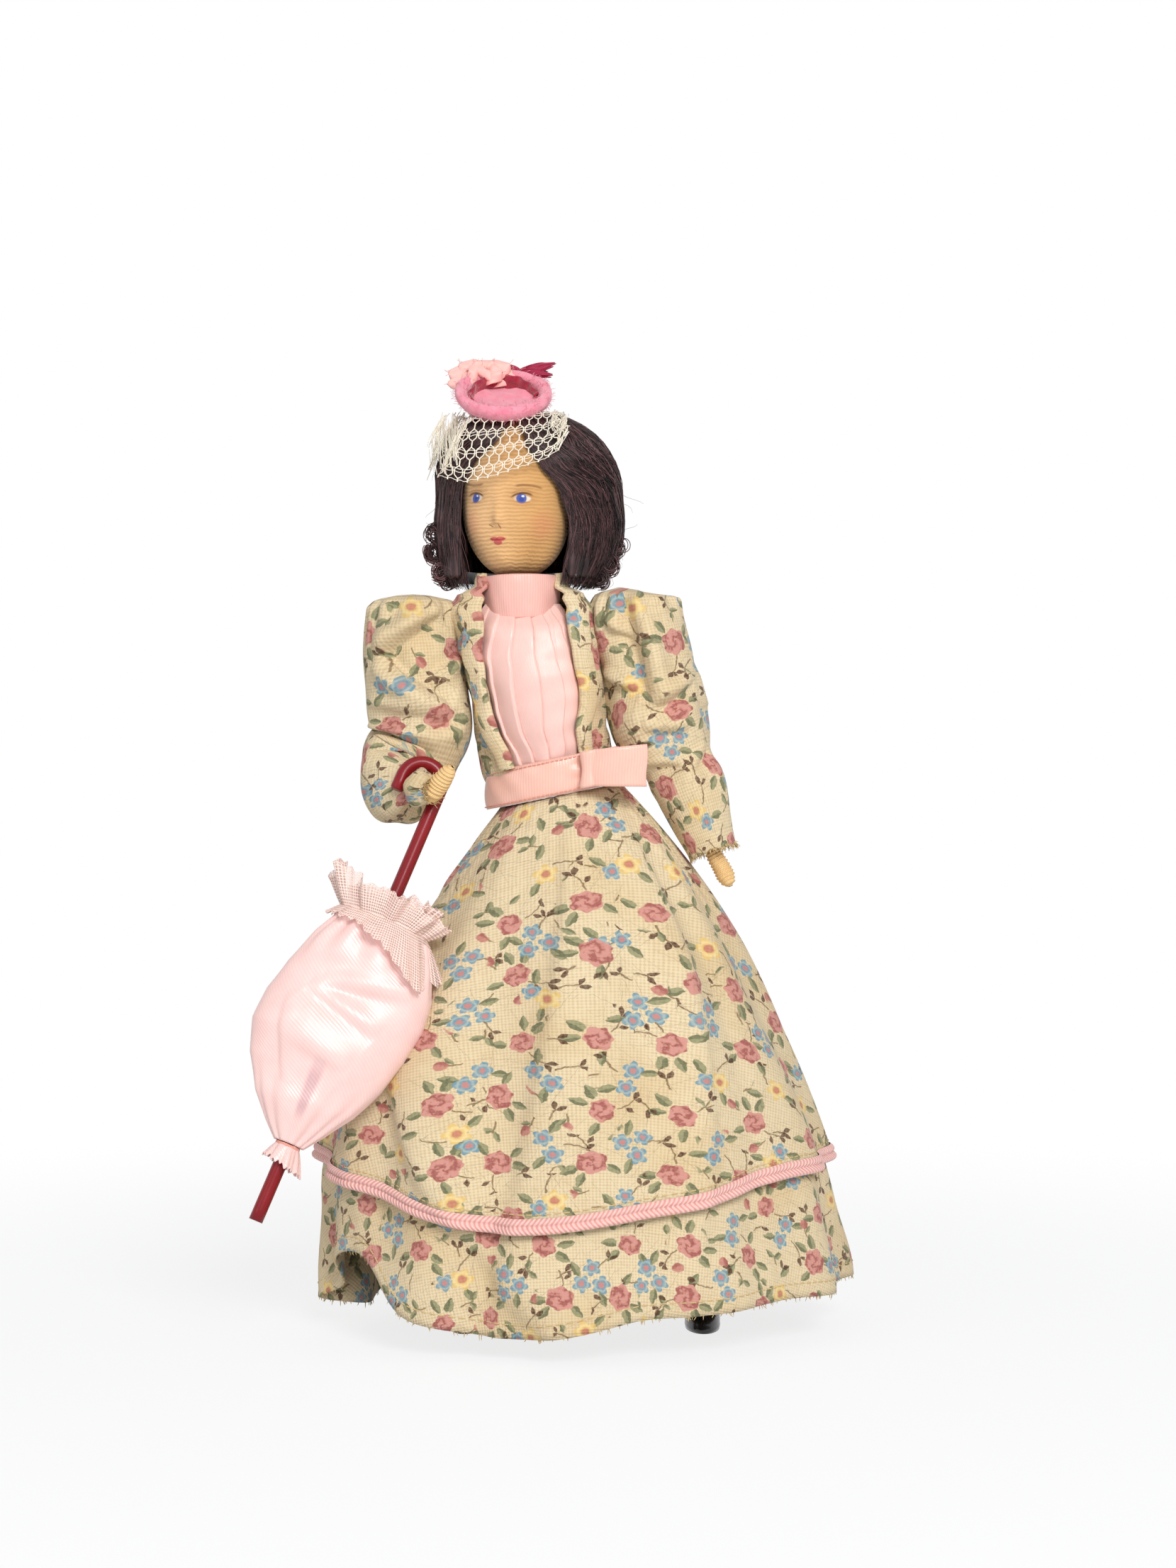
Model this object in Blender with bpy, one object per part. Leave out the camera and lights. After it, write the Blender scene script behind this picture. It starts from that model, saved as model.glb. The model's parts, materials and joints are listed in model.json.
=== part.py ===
"""Miniature cloth doll on a wire armature, dressed as a lady with a hat and a parasol.

The doll stands on its shoes and faces -Y; the viewer's right is +X.  Sizes are in metres.
Every piece is its own closed solid, and the pieces that move hang from an empty on their axis.
"""
import bpy
import bmesh
from math import cos, sin, tan, pi, radians, sqrt
from mathutils import Matrix, Vector

MM = 0.001

# Fits
CLEAR = 0.35 * MM            # gap between pieces that lie on each other
CLOTH = 0.9 * MM             # thickness of a cloth layer with its filling
RIBBON = 0.7 * MM            # thickness of a ribbon layer
WIRE_R = 0.6 * MM            # armature wire
BORE_R = WIRE_R + CLEAR      # hole that the wire passes through

# Skirt
WAIST_X = -2.6 * MM
SKIRT_TOP_Z = 81.0 * MM
SKIRT_HEM_Z = 6.5 * MM
SKIRT_WAIST_R = 9.3 * MM
SKIRT_HEM_R = 41.0 * MM
SKIRT_SWELL = 1.9            # how bell-shaped the skirt is
SKIRT_DEPTH_TOP = 0.80       # depth over width at the waist
SKIRT_DEPTH_HEM = 0.73       # depth over width at the hem
FOLDS = 11                   # main folds round the skirt
FOLD_DEPTH = 0.030           # share of the radius that a fold moves in or out at the hem
OVERSKIRT_HEM_Z = 22.0 * MM
LAYER_GAP = 0.6 * MM         # air between the two skirts, measured level
BRAID_HEIGHT = 2.2 * MM
BRAID_ABOVE_HEM = 1.4 * MM
WAIST_TILT = radians(11.6)   # the waist line rises towards +X
TILT_FADE_LOW_Z = 45.0 * MM
TILT_FULL_Z = 87.0 * MM
TILT_FADE_HIGH_Z = 100.0 * MM

# Trunk
NECK_X = -8.7 * MM
COLLAR_Z = 111.0 * MM        # top of the jacket
NECK_BASE_Z = 108.6 * MM     # top of the blouse and the stuffing
HIP_HEIGHT = 5.5 * MM
HIP_HALF_WIDTH = 8.0 * MM
HIP_HALF_DEPTH = 5.6 * MM
WAIST_HALF_WIDTH = 8.9 * MM
WAIST_HALF_DEPTH = 7.0 * MM
CHEST_Z = 99.0 * MM
CHEST_HALF_WIDTH = 9.3 * MM
CHEST_HALF_DEPTH = 8.4 * MM
ARMHOLE_Z = 104.3 * MM
ARMHOLE_HALF_WIDTH = 9.1 * MM
ARMHOLE_HALF_DEPTH = 7.9 * MM
SHOULDER_Z = 107.8 * MM
SHOULDER_HALF_WIDTH = 9.8 * MM
SHOULDER_HALF_DEPTH = 6.9 * MM
COLLAR_HALF_WIDTH = 7.2 * MM
COLLAR_HALF_DEPTH = 6.6 * MM
EDGE_RIGHT_WAIST = radians(-45)   # jacket's front edges, as angles from straight ahead
EDGE_RIGHT_TOP = radians(-57)
EDGE_LEFT_WAIST = radians(25)
EDGE_LEFT_TOP = radians(58)
LAPEL_ANGLE = radians(20)
LAPEL_BOTTOM_Z = 89.0 * MM
PLEATS = 5
PLEAT_DEPTH = 0.25 * MM
BELT_HEIGHT = 5.4 * MM
KNOT_X = 1.8 * MM
KNOT_WIDTH = 2.4 * MM
KNOT_DEPTH = 1.6 * MM
KNOT_HEIGHT = 3.6 * MM
BOW_LENGTH = 7.0 * MM
BOW_DEPTH = 2.9 * MM
BOW_HEIGHT = 7.2 * MM

# Neck and head
NECK_R = 4.7 * MM
NECK_TOP_Z = 114.6 * MM
HEAD_X = -9.3 * MM
HEAD_BOTTOM_Z = 114.2 * MM
HEAD_TOP_Z = 138.8 * MM
HEAD_HALF_WIDTH = 8.4 * MM
HEAD_HALF_DEPTH = 9.0 * MM
HEAD_COVER = 0.6 * MM
HEAD_OPENING = 1.2 * MM      # the cover's lower edge, above the point where it would close
HEAD_WIRE_DEPTH = 9.0 * MM   # how far the wire reaches into the head

# Wig
WIG_BOTTOM_Z = 113.2 * MM
WIG_TOP_Z = 136.5 * MM
WIG_SIDE_LEFT = 8.0 * MM     # thickness of each mass of hair at its fullest
WIG_SIDE_RIGHT = 5.6 * MM
WIG_BACK = 5.2 * MM
WIG_CAP = 1.0 * MM
WIG_PART = radians(2)        # half the gap between neighbouring masses of hair
WIG_FRONT_LEFT = radians(60)     # where the hair begins beside the face
WIG_FRONT_RIGHT = radians(-66)
WIG_SEAM = radians(98)           # where the side masses meet the back one

# Hat
HAT_X = -11.3 * MM
HAT_Y = -2.0 * MM
HAT_PITCH = radians(31)      # the hat leans towards the face
HAT_R = 7.25 * MM
HAT_DEPTH = 2.6 * MM
HAT_FELT = 1.4 * MM
LINING = 0.5 * MM
FLOWER_R = 4.2 * MM
FLOWER_DEPTH = 2.6 * MM
HAT_BOW_LENGTH = 8.0 * MM
HAT_BOW_R = 1.5 * MM
VEIL = 0.6 * MM
VEIL_TOP_Z = 136.6 * MM
VEIL_BOTTOM_Z = 129.6 * MM
VEIL_RIGHT = radians(-88)
VEIL_LEFT = radians(56)

# Arms
PUFF_R = 7.5 * MM
ELBOW_R = 4.8 * MM
CUFF_R = 3.4 * MM
SLEEVE_END_LEFT = 5.6 * MM   # half width of each upper sleeve at the elbow
SLEEVE_END_RIGHT = 6.8 * MM
ELBOW_CUT = 0.5              # how steeply the right upper sleeve is cut back at the elbow
WRIST_R = 1.3 * MM
SHOULDER_LEFT = Vector((9.5, 0.0, 104.5)) * MM
ELBOW_LEFT = Vector((15.5, 0.0, 87.0)) * MM
WRIST_LEFT = Vector((20.9, -1.0, 72.0)) * MM
PALM_LEFT = Vector((21.9, -1.3, 70.2)) * MM
FINGERS_LEFT = Vector((23.3, -2.0, 67.2)) * MM
SHOULDER_RIGHT = Vector((-25.0, 0.0, 104.0)) * MM
ELBOW_RIGHT = Vector((-28.5, 1.0, 83.6)) * MM
WRIST_RIGHT = Vector((-23.2, -10.8, 83.3)) * MM
PALM_RIGHT = Vector((-21.6, -14.8, 81.3)) * MM
FINGERS_RIGHT = Vector((-18.4, -17.4, 85.4)) * MM
CUFF_BACK_LEFT = 1.5 * MM    # how far each cuff stops short of the wrist
CUFF_BACK_RIGHT = 3.0 * MM

# Legs
HIP_LEFT_X = 3.4 * MM
HIP_RIGHT_X = -7.6 * MM
HIP_BALL_R = 3.2 * MM
KNEE_R = 2.4 * MM
ANKLE_R = 1.7 * MM
KNEE_SHARE = 0.47            # where the knee lies between hip and ankle
ANKLE_LEFT_X = 19.0 * MM
ANKLE_RIGHT_X = -17.0 * MM
ANKLE_Y = 2.6 * MM
SHOE_LENGTH = 13.0 * MM
SHOE_WIDTH = 5.4 * MM
SHOE_HEIGHT = 5.6 * MM
SHOE_SOLE = 0.8 * MM

# Parasol
STICK_R = 1.05 * MM
CROOK_R = 3.0 * MM
CROOK_LEG = 2.2 * MM
STICK_LENGTH = 69.0 * MM
STICK_AIM = Vector((-0.376, -0.211, -0.902)).normalized()
COVER_START = 22.5 * MM      # along the stick from the crook
COVER_LENGTH = 34.5 * MM
COVER_HALF_WIDTH = 12.0 * MM
COVER_HALF_DEPTH = 4.6 * MM
LACE_LENGTH = 8.0 * MM
LACE_HALF_WIDTH = 10.0 * MM
LACE_HALF_DEPTH = 4.2 * MM
TIE_LENGTH = 3.4 * MM
TIE_R = 3.2 * MM

SIDES = 16
SKIRT_SIDES = 66
SKIRT_LEVELS = 7

COLOURS = {
    "cloth": ((0.78, 0.62, 0.38), 0.9, 0.0),
    "blouse": ((0.90, 0.50, 0.43), 0.45, 0.0),
    "ribbon": ((0.85, 0.40, 0.30), 0.45, 0.0),
    "braid": ((0.80, 0.36, 0.36), 0.7, 0.0),
    "felt": ((0.84, 0.38, 0.40), 0.95, 0.0),
    "crimson": ((0.36, 0.02, 0.05), 0.6, 0.0),
    "salmon": ((0.88, 0.35, 0.28), 0.5, 0.0),
    "net": ((0.80, 0.73, 0.60), 0.8, 0.0),
    "hair": ((0.03, 0.015, 0.016), 0.5, 0.0),
    "skin": ((0.68, 0.39, 0.14), 0.8, 0.0),
    "wool": ((0.75, 0.70, 0.60), 0.95, 0.0),
    "wire": ((0.45, 0.45, 0.47), 0.35, 1.0),
    "shoe": ((0.01, 0.01, 0.01), 0.2, 0.0),
    "lacquer": ((0.38, 0.02, 0.03), 0.25, 0.0),
    "satin": ((0.93, 0.63, 0.60), 0.35, 0.0),
    "lace": ((0.88, 0.62, 0.50), 0.7, 0.0),
}


# Scene and carriers

def clear_scene():
    for item in list(bpy.data.objects):
        bpy.data.objects.remove(item, do_unlink=True)


def make_carrier(name, place, parent):
    """An empty on a joint's axis; what moves with the joint is parented to it."""
    carrier = bpy.data.objects.new(name, None)
    bpy.context.collection.objects.link(carrier)
    carrier.empty_display_size = 4 * MM
    carrier["place"] = tuple(place)
    carrier.parent = parent
    start = Vector(parent["place"]) if parent else Vector()
    carrier.location = Vector(place) - start
    return carrier


def make_material(name, kind):
    colour, roughness, metallic = COLOURS[kind]
    material = bpy.data.materials.new(name)
    material.use_nodes = True
    shader = material.node_tree.nodes["Principled BSDF"]
    shader.inputs["Base Color"].default_value = (*colour, 1.0)
    shader.inputs["Roughness"].default_value = roughness
    shader.inputs["Metallic"].default_value = metallic
    return material


def add_node(name, kind, carrier, vertices, faces):
    """Make one closed solid, with its origin on its carrier's axis."""
    start = Vector(carrier["place"])
    mesh = bpy.data.meshes.new(name)
    mesh.from_pydata([Vector(v) - start for v in vertices], [], faces)
    shape = bmesh.new()
    shape.from_mesh(mesh)
    bmesh.ops.recalc_face_normals(shape, faces=shape.faces)
    shape.to_mesh(mesh)
    shape.free()
    mesh.shade_smooth()
    mesh.set_sharp_from_angle(angle=radians(50))
    node = bpy.data.objects.new(name, mesh)
    bpy.context.collection.objects.link(node)
    node.parent = carrier
    mesh.materials.append(make_material(name, kind))
    return node


# Surfaces

def bands(start_a, start_b, count, closed):
    """Quads between two rows of points that begin at the given indices."""
    last = count if closed else count - 1
    quads = []
    for i in range(last):
        j = (i + 1) % count
        quads.append((start_a + i, start_a + j, start_b + j, start_b + i))
    return quads


def solid_loft(rings):
    """A solid through rings of points, with a flat cap at each end."""
    count = len(rings[0])
    vertices = [p for ring in rings for p in ring]
    faces = []
    for level in range(len(rings) - 1):
        faces += bands(level * count, (level + 1) * count, count, True)
    faces.append(tuple(reversed(range(count))))
    faces.append(tuple(range(len(vertices) - count, len(vertices))))
    return vertices, faces


def shell_loft(outer, inner):
    """A sleeve with a hole through it: outer rings, inner rings and two rims."""
    count = len(outer[0])
    rows = outer + inner[::-1]
    vertices = [p for ring in rows for p in ring]
    faces = []
    for level in range(len(rows)):
        following = (level + 1) % len(rows)
        faces += bands(level * count, following * count, count, True)
    return vertices, faces


def panel_loft(outer, inner):
    """A curved panel that is open at both sides."""
    vertices, faces = [], []
    count = len(outer[0])
    rows = outer + inner[::-1]
    for row in rows:
        vertices += row
    total = len(rows)
    for level in range(total):
        following = (level + 1) % total
        faces += bands(level * count, following * count, count, False)
    for side in (0, count - 1):
        half = total // 2
        for level in range(half - 1):
            back = total - 1 - level
            faces.append((level * count + side, (level + 1) * count + side,
                          (back - 1) * count + side, back * count + side))
    return vertices, faces


def cup_loft(outer, outer_pole, inner, inner_pole):
    """A hollow cap that is open at its first ring and closed at its poles."""
    count = len(outer[0])
    rows = outer[::-1] + inner
    vertices = [p for ring in rows for p in ring] + [outer_pole, inner_pole]
    faces = []
    for level in range(len(rows) - 1):
        faces += bands(level * count, (level + 1) * count, count, True)
    end = (len(rows) - 1) * count
    for i in range(count):
        j = (i + 1) % count
        faces.append((i, j, len(vertices) - 2))
        faces.append((end + i, end + j, len(vertices) - 1))
    return vertices, faces


def ring(centre, side, front, count=SIDES):
    """Points round an ellipse that is given by its two half axes."""
    points = []
    for i in range(count):
        turn = 2 * pi * i / count
        points.append(centre + side * cos(turn) + front * sin(turn))
    return points


def level_point(x, y, z, half_width, half_depth, angle):
    """A point on a level ellipse; angle 0 is straight ahead and grows towards +X."""
    return Vector((x + half_width * sin(angle), y - half_depth * cos(angle), z))


def across(direction):
    """Two unit vectors square to a direction, the first one as level as it can be."""
    side = direction.cross(Vector((0, 1, 0)))
    if side.length < 0.1:
        side = direction.cross(Vector((1, 0, 0)))
    side.normalize()
    return side, side.cross(direction).normalized()


def limb_rings(start, direction, profile, count=SIDES):
    side, front = across(direction)
    return [ring(start + direction * t, side * r, front * r, count) for t, r in profile]


def sweep_rings(path, radius, count=8):
    """Circles along a path, each square to the path there."""
    rings = []
    for i, point in enumerate(path):
        before = path[max(i - 1, 0)]
        after = path[min(i + 1, len(path) - 1)]
        side, front = across((after - before).normalized())
        rings.append(ring(point, side * radius, front * radius, count))
    return rings


def steps(start, end, count):
    return [start + (end - start) * i / (count - 1) for i in range(count)]


def ease(share):
    share = min(max(share, 0.0), 1.0)
    return share * share * (3 - 2 * share)


def through(points, value):
    """Smooth value at a place between (place, value) pairs in rising order."""
    if value <= points[0][0]:
        return points[0][1]
    for (low, first), (high, second) in zip(points, points[1:]):
        if value <= high:
            return first + (second - first) * ease((value - low) / (high - low))
    return points[-1][1]


def tilt_height(point):
    """Raise a point as the tilted waist line does, fading out above and below."""
    x, y, z = point
    low = (z - TILT_FADE_LOW_Z) / (SKIRT_TOP_Z - TILT_FADE_LOW_Z)
    high = (TILT_FADE_HIGH_Z - z) / (TILT_FADE_HIGH_Z - TILT_FULL_Z)
    fade = min(max(min(low, high), 0.0), 1.0)
    return Vector((x, y, z + tan(WAIST_TILT) * (x - WAIST_X) * fade))


def tilted(rows):
    return [[tilt_height(p) for p in row] for row in rows]


# Skirts

def skirt_ring(z, inset):
    """One level of the skirt's outer cloth, drawn in by an inset."""
    share = min(max((z - SKIRT_HEM_Z) / (SKIRT_TOP_Z - SKIRT_HEM_Z), 0.0), 1.0)
    full = SKIRT_WAIST_R + (SKIRT_HEM_R - SKIRT_WAIST_R) * (1 - share ** SKIRT_SWELL)
    depth = SKIRT_DEPTH_HEM + (SKIRT_DEPTH_TOP - SKIRT_DEPTH_HEM) * share
    points = []
    for i in range(SKIRT_SIDES):
        turn = 2 * pi * i / SKIRT_SIDES
        fold = 1 + FOLD_DEPTH * (1 - share) * cos(FOLDS * turn)
        points.append(level_point(WAIST_X * share, 0, z, full * fold - inset,
                                  full * depth * fold - inset, turn))
    return points


def underskirt_inset(z):
    below = (OVERSKIRT_HEM_Z - z) / (OVERSKIRT_HEM_Z - SKIRT_HEM_Z)
    return (CLOTH + LAYER_GAP) * (1 - ease(below))


def make_skirts(root):
    heights = steps(SKIRT_HEM_Z, SKIRT_TOP_Z, SKIRT_LEVELS)
    outer = tilted([skirt_ring(z, underskirt_inset(z)) for z in heights])
    inner = tilted([skirt_ring(z, underskirt_inset(z) + CLOTH) for z in heights])
    add_node("underskirt", "cloth", root, *shell_loft(outer, inner))

    heights = steps(OVERSKIRT_HEM_Z, SKIRT_TOP_Z, SKIRT_LEVELS)
    outer = tilted([skirt_ring(z, 0) for z in heights])
    inner = tilted([skirt_ring(z, CLOTH) for z in heights])
    add_node("overskirt", "cloth", root, *shell_loft(outer, inner))

    low = OVERSKIRT_HEM_Z + BRAID_ABOVE_HEM
    heights = [low, low + BRAID_HEIGHT]
    outer = [skirt_ring(z, -CLEAR - RIBBON) for z in heights]
    inner = [skirt_ring(z, -CLEAR) for z in heights]
    add_node("overskirt_braid", "braid", root, *shell_loft(outer, inner))


# Trunk

def trunk_x(z):
    return WAIST_X + (NECK_X - WAIST_X) * trunk_share(z)


def trunk_half(z):
    """Half width and half depth of the jacket's outside at a height."""
    wide = [(SKIRT_TOP_Z, WAIST_HALF_WIDTH), (CHEST_Z, CHEST_HALF_WIDTH),
            (ARMHOLE_Z, ARMHOLE_HALF_WIDTH), (SHOULDER_Z, SHOULDER_HALF_WIDTH),
            (COLLAR_Z, COLLAR_HALF_WIDTH)]
    deep = [(SKIRT_TOP_Z, WAIST_HALF_DEPTH), (CHEST_Z, CHEST_HALF_DEPTH),
            (ARMHOLE_Z, ARMHOLE_HALF_DEPTH), (SHOULDER_Z, SHOULDER_HALF_DEPTH),
            (COLLAR_Z, COLLAR_HALF_DEPTH)]
    return through(wide, z), through(deep, z)


def trunk_share(z):
    """How far up the trunk a height lies: 0 at the waist, 1 from the neck up."""
    return min((z - SKIRT_TOP_Z) / (NECK_BASE_Z - SKIRT_TOP_Z), 1.0)


def edge_right(z):
    return EDGE_RIGHT_WAIST + (EDGE_RIGHT_TOP - EDGE_RIGHT_WAIST) * trunk_share(z)


def edge_left(z):
    return EDGE_LEFT_WAIST + (EDGE_LEFT_TOP - EDGE_LEFT_WAIST) * trunk_share(z)


def trunk_row(z, inset, start, end, count, ripple=0.0):
    """Points along the jacket's surface between two angles; ripple adds pleats."""
    half_width, half_depth = trunk_half(z)
    points = []
    for i, angle in enumerate(steps(start, end, count)):
        share = i / (count - 1)
        proud = ripple * sin(pi * share) * cos(2 * pi * PLEATS * share) - inset
        points.append(level_point(trunk_x(z), 0, z, half_width + proud,
                                  half_depth + proud, angle))
    return points


def trunk_panel(name, kind, root, heights, inset, thickness, start, end, count, ripple=0.0):
    outer = [trunk_row(z, inset, start(z), end(z), count, ripple) for z in heights]
    inner = [trunk_row(z, inset + thickness, start(z), end(z), count) for z in heights]
    add_node(name, kind, root, *panel_loft(tilted(outer), tilted(inner)))


def trunk_ring(z, inset):
    half_width, half_depth = trunk_half(z)
    centre = Vector((trunk_x(z), 0, z))
    return ring(centre, Vector((half_width - inset, 0, 0)), Vector((0, half_depth - inset, 0)))


def make_trunk(root):
    hip_top = SKIRT_TOP_Z + CLEAR
    hip_low = hip_top - HIP_HEIGHT
    waist_inset = 2 * CLOTH + LAYER_GAP + 2 * CLEAR
    top_width = SKIRT_WAIST_R - waist_inset
    top_depth = SKIRT_WAIST_R * SKIRT_DEPTH_TOP - waist_inset
    levels = [(hip_low, HIP_HALF_WIDTH, HIP_HALF_DEPTH), (hip_top, top_width, top_depth)]
    outer = [ring(Vector((trunk_x(z), 0, z)), Vector((w, 0, 0)), Vector((0, d, 0)))
             for z, w, d in levels]
    inner = [ring(Vector((trunk_x(z), 0, z)), Vector((BORE_R, 0, 0)), Vector((0, BORE_R, 0)))
             for z, w, d in levels]
    add_node("hip_pad", "wool", root, *shell_loft(tilted(outer), tilted(inner)))

    bottom = hip_top + CLEAR
    heights = steps(bottom, NECK_BASE_Z, 8)
    blouse_inset = CLOTH + CLEAR
    pad_inset = blouse_inset + CLOTH + CLEAR
    outer = [trunk_ring(z, pad_inset) for z in heights]
    inner = [ring(Vector((trunk_x(z), 0, z)), Vector((BORE_R, 0, 0)), Vector((0, BORE_R, 0)))
             for z in heights]
    add_node("torso_pad", "wool", root, *shell_loft(tilted(outer), tilted(inner)))

    wire_low = hip_low + CLEAR
    path = [Vector((trunk_x(z), 0, z)) for z in steps(wire_low, NECK_BASE_Z, 6)]
    path.append(Vector((NECK_X, 0, HEAD_BOTTOM_Z + HEAD_WIRE_DEPTH)))
    add_node("spine_wire", "wire", root, *solid_loft(sweep_rings(path, WIRE_R)))

    under = radians(8)
    trunk_panel("blouse_front", "blouse", root, heights, blouse_inset, CLOTH,
                lambda z: edge_right(z) - under, lambda z: edge_left(z) + under, 31, PLEAT_DEPTH)
    jacket_heights = heights + steps(NECK_BASE_Z, COLLAR_Z, 3)[1:]
    trunk_panel("jacket_bodice", "cloth", root, jacket_heights, 0, CLOTH,
                edge_left, lambda z: edge_right(z) + 2 * pi, 23)
    lapel_heights = [z for z in jacket_heights if z > LAPEL_BOTTOM_Z]
    lift = -CLEAR - RIBBON
    trunk_panel("lapel_left", "cloth", root, lapel_heights, lift, RIBBON,
                edge_left, lambda z: edge_left(z) + LAPEL_ANGLE * trunk_share(z), 5)
    trunk_panel("lapel_right", "cloth", root, lapel_heights, lift, RIBBON,
                lambda z: edge_right(z) - LAPEL_ANGLE * trunk_share(z), edge_right, 5)


def belt_levels():
    low = SKIRT_TOP_Z + CLEAR
    return low, low + BELT_HEIGHT


def make_belt(root):
    low, high = belt_levels()
    middle = Vector((trunk_x(low), 0, low))
    top = Vector((trunk_x(high), 0, high))
    inner_half = [(max(trunk_half(low)[k], trunk_half(high)[k]) + CLEAR) for k in (0, 1)]
    outer, inner = [], []
    for centre in (middle, top):
        outer.append(ring(centre, Vector((inner_half[0] + RIBBON, 0, 0)),
                          Vector((0, inner_half[1] + RIBBON, 0)), 28))
        inner.append(ring(centre, Vector((inner_half[0], 0, 0)),
                          Vector((0, inner_half[1], 0)), 28))
    add_node("waist_ribbon", "ribbon", root, *shell_loft(tilted(outer), tilted(inner)))

    half_width = inner_half[0] + RIBBON
    half_depth = inner_half[1] + RIBBON
    knot_z = (low + high) / 2
    share = (KNOT_X - KNOT_WIDTH / 2 - trunk_x(knot_z)) / half_width
    front = -half_depth * sqrt(1 - share * share)
    knot_y = front - CLEAR - KNOT_DEPTH / 2
    rows = []
    for part, size in ((-0.5, 0.75), (-0.25, 1.0), (0.25, 1.0), (0.5, 0.75)):
        centre = Vector((KNOT_X, knot_y, knot_z + KNOT_HEIGHT * part))
        rows.append(ring(centre, Vector((KNOT_WIDTH / 2 * size, 0, 0)),
                         Vector((0, KNOT_DEPTH / 2 * size, 0)), 12))
    add_node("bow_knot", "ribbon", root, *solid_loft(tilted(rows)))

    start_x = KNOT_X + KNOT_WIDTH / 2 + CLEAR
    centre = Vector((start_x + BOW_LENGTH / 2, knot_y - CLEAR, knot_z))
    outer, inner = [], []
    for part in (-0.5, 0.5):
        outer_row, inner_row = [], []
        for i in range(SIDES):
            turn = 2 * pi * i / SIDES
            along = cos(turn)
            height = KNOT_HEIGHT + (BOW_HEIGHT - KNOT_HEIGHT) * (along + 1) / 2
            rise = Vector((0, 0, height * part))
            for row, trim in ((outer_row, 0), (inner_row, RIBBON)):
                half = Vector(((BOW_LENGTH / 2 - trim) * along,
                               (BOW_DEPTH / 2 - trim) * sin(turn), 0))
                row.append(centre + half + rise)
        outer.append(outer_row)
        inner.append(inner_row)
    add_node("bow_loop", "ribbon", root, *shell_loft(tilted(outer), tilted(inner)))


def make_neck(root):
    centre = Vector((NECK_X, 0, 0))
    low = NECK_BASE_Z + CLEAR
    heights = [low, (low + NECK_TOP_Z) / 2, NECK_TOP_Z]
    up = Vector((0, 0, 1))
    wrap_r = NECK_R - CLEAR
    outer = [ring(centre + up * z, Vector((wrap_r, 0, 0)), Vector((0, wrap_r, 0)))
             for z in heights]
    inner = [ring(centre + up * z, Vector((BORE_R, 0, 0)), Vector((0, BORE_R, 0)))
             for z in heights]
    add_node("neck_wrap", "wool", root, *shell_loft(outer, inner))
    band_r = NECK_R + RIBBON
    outer = [ring(centre + up * z, Vector((band_r, 0, 0)), Vector((0, band_r, 0)))
             for z in heights]
    inner = [ring(centre + up * z, Vector((NECK_R, 0, 0)), Vector((0, NECK_R, 0)))
             for z in heights]
    add_node("neck_ribbon", "satin", root, *shell_loft(outer, inner))


# Head, wig and hat

def head_half(z, grow=0.0):
    """Half width and half depth of the head at a height, grown by a margin all round."""
    middle = (HEAD_TOP_Z + HEAD_BOTTOM_Z) / 2
    half_height = (HEAD_TOP_Z - HEAD_BOTTOM_Z) / 2
    place = min(abs(z - middle) / (half_height + grow), 0.999)
    share = sqrt(1 - place ** 2.4)
    return (HEAD_HALF_WIDTH + grow) * share, (HEAD_HALF_DEPTH + grow) * share


def head_ring(z, grow):
    half_width, half_depth = head_half(z, grow)
    return ring(Vector((HEAD_X, 0, z)), Vector((half_width, 0, 0)), Vector((0, half_depth, 0)))


def make_head(head):
    opening = HEAD_BOTTOM_Z + HEAD_OPENING
    heights = steps(opening, HEAD_TOP_Z - HEAD_COVER * 2, 8)
    outer = [head_ring(z, 0) for z in heights]
    inner = [head_ring(z, -HEAD_COVER) for z in heights[:-1]]
    inner.append(head_ring(heights[-1] - HEAD_COVER, -HEAD_COVER))
    pole = Vector((HEAD_X, 0, HEAD_TOP_Z))
    inner_pole = Vector((HEAD_X, 0, HEAD_TOP_Z - HEAD_COVER))
    add_node("face_cover", "skin", head, *cup_loft(outer, pole, inner, inner_pole))

    core_grow = -HEAD_COVER - CLEAR
    heights = steps(opening, HEAD_TOP_Z + core_grow - 2 * CLEAR, 8)
    outer = [head_ring(z, core_grow) for z in heights]
    bore_top = HEAD_BOTTOM_Z + HEAD_WIRE_DEPTH + CLEAR
    bore = [ring(Vector((NECK_X, 0, z)), Vector((BORE_R, 0, 0)), Vector((0, BORE_R, 0)))
            for z in (opening, bore_top)]
    top = Vector((HEAD_X, 0, HEAD_TOP_Z + core_grow - CLEAR))
    add_node("head_core", "wool", head, *cup_loft(outer, top, bore, Vector((NECK_X, 0, bore_top))))


def hair_thickness(z, angle):
    """How far the hair stands off the head: thin at the face, full at the sides."""
    turn = angle if angle <= pi else angle - 2 * pi
    round_head = [(-pi, WIG_BACK), (-WIG_SEAM * 1.2, WIG_BACK), (-WIG_SEAM * 0.92, WIG_SIDE_RIGHT),
                  (WIG_FRONT_RIGHT, WIG_SIDE_RIGHT * 0.5), (WIG_FRONT_RIGHT * 0.6, 0.0),
                  (WIG_FRONT_LEFT * 0.6, 0.0), (WIG_FRONT_LEFT, WIG_SIDE_LEFT * 0.5),
                  (WIG_SEAM * 0.92, WIG_SIDE_LEFT), (WIG_SEAM * 1.3, WIG_BACK), (pi, WIG_BACK)]
    share = (z - WIG_BOTTOM_Z) / (WIG_TOP_Z - WIG_BOTTOM_Z)
    fullness = [(0.0, 0.6), (0.3, 1.0), (0.55, 0.95), (1.0, 0.3)]
    return through(round_head, turn) * through(fullness, share)


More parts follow.
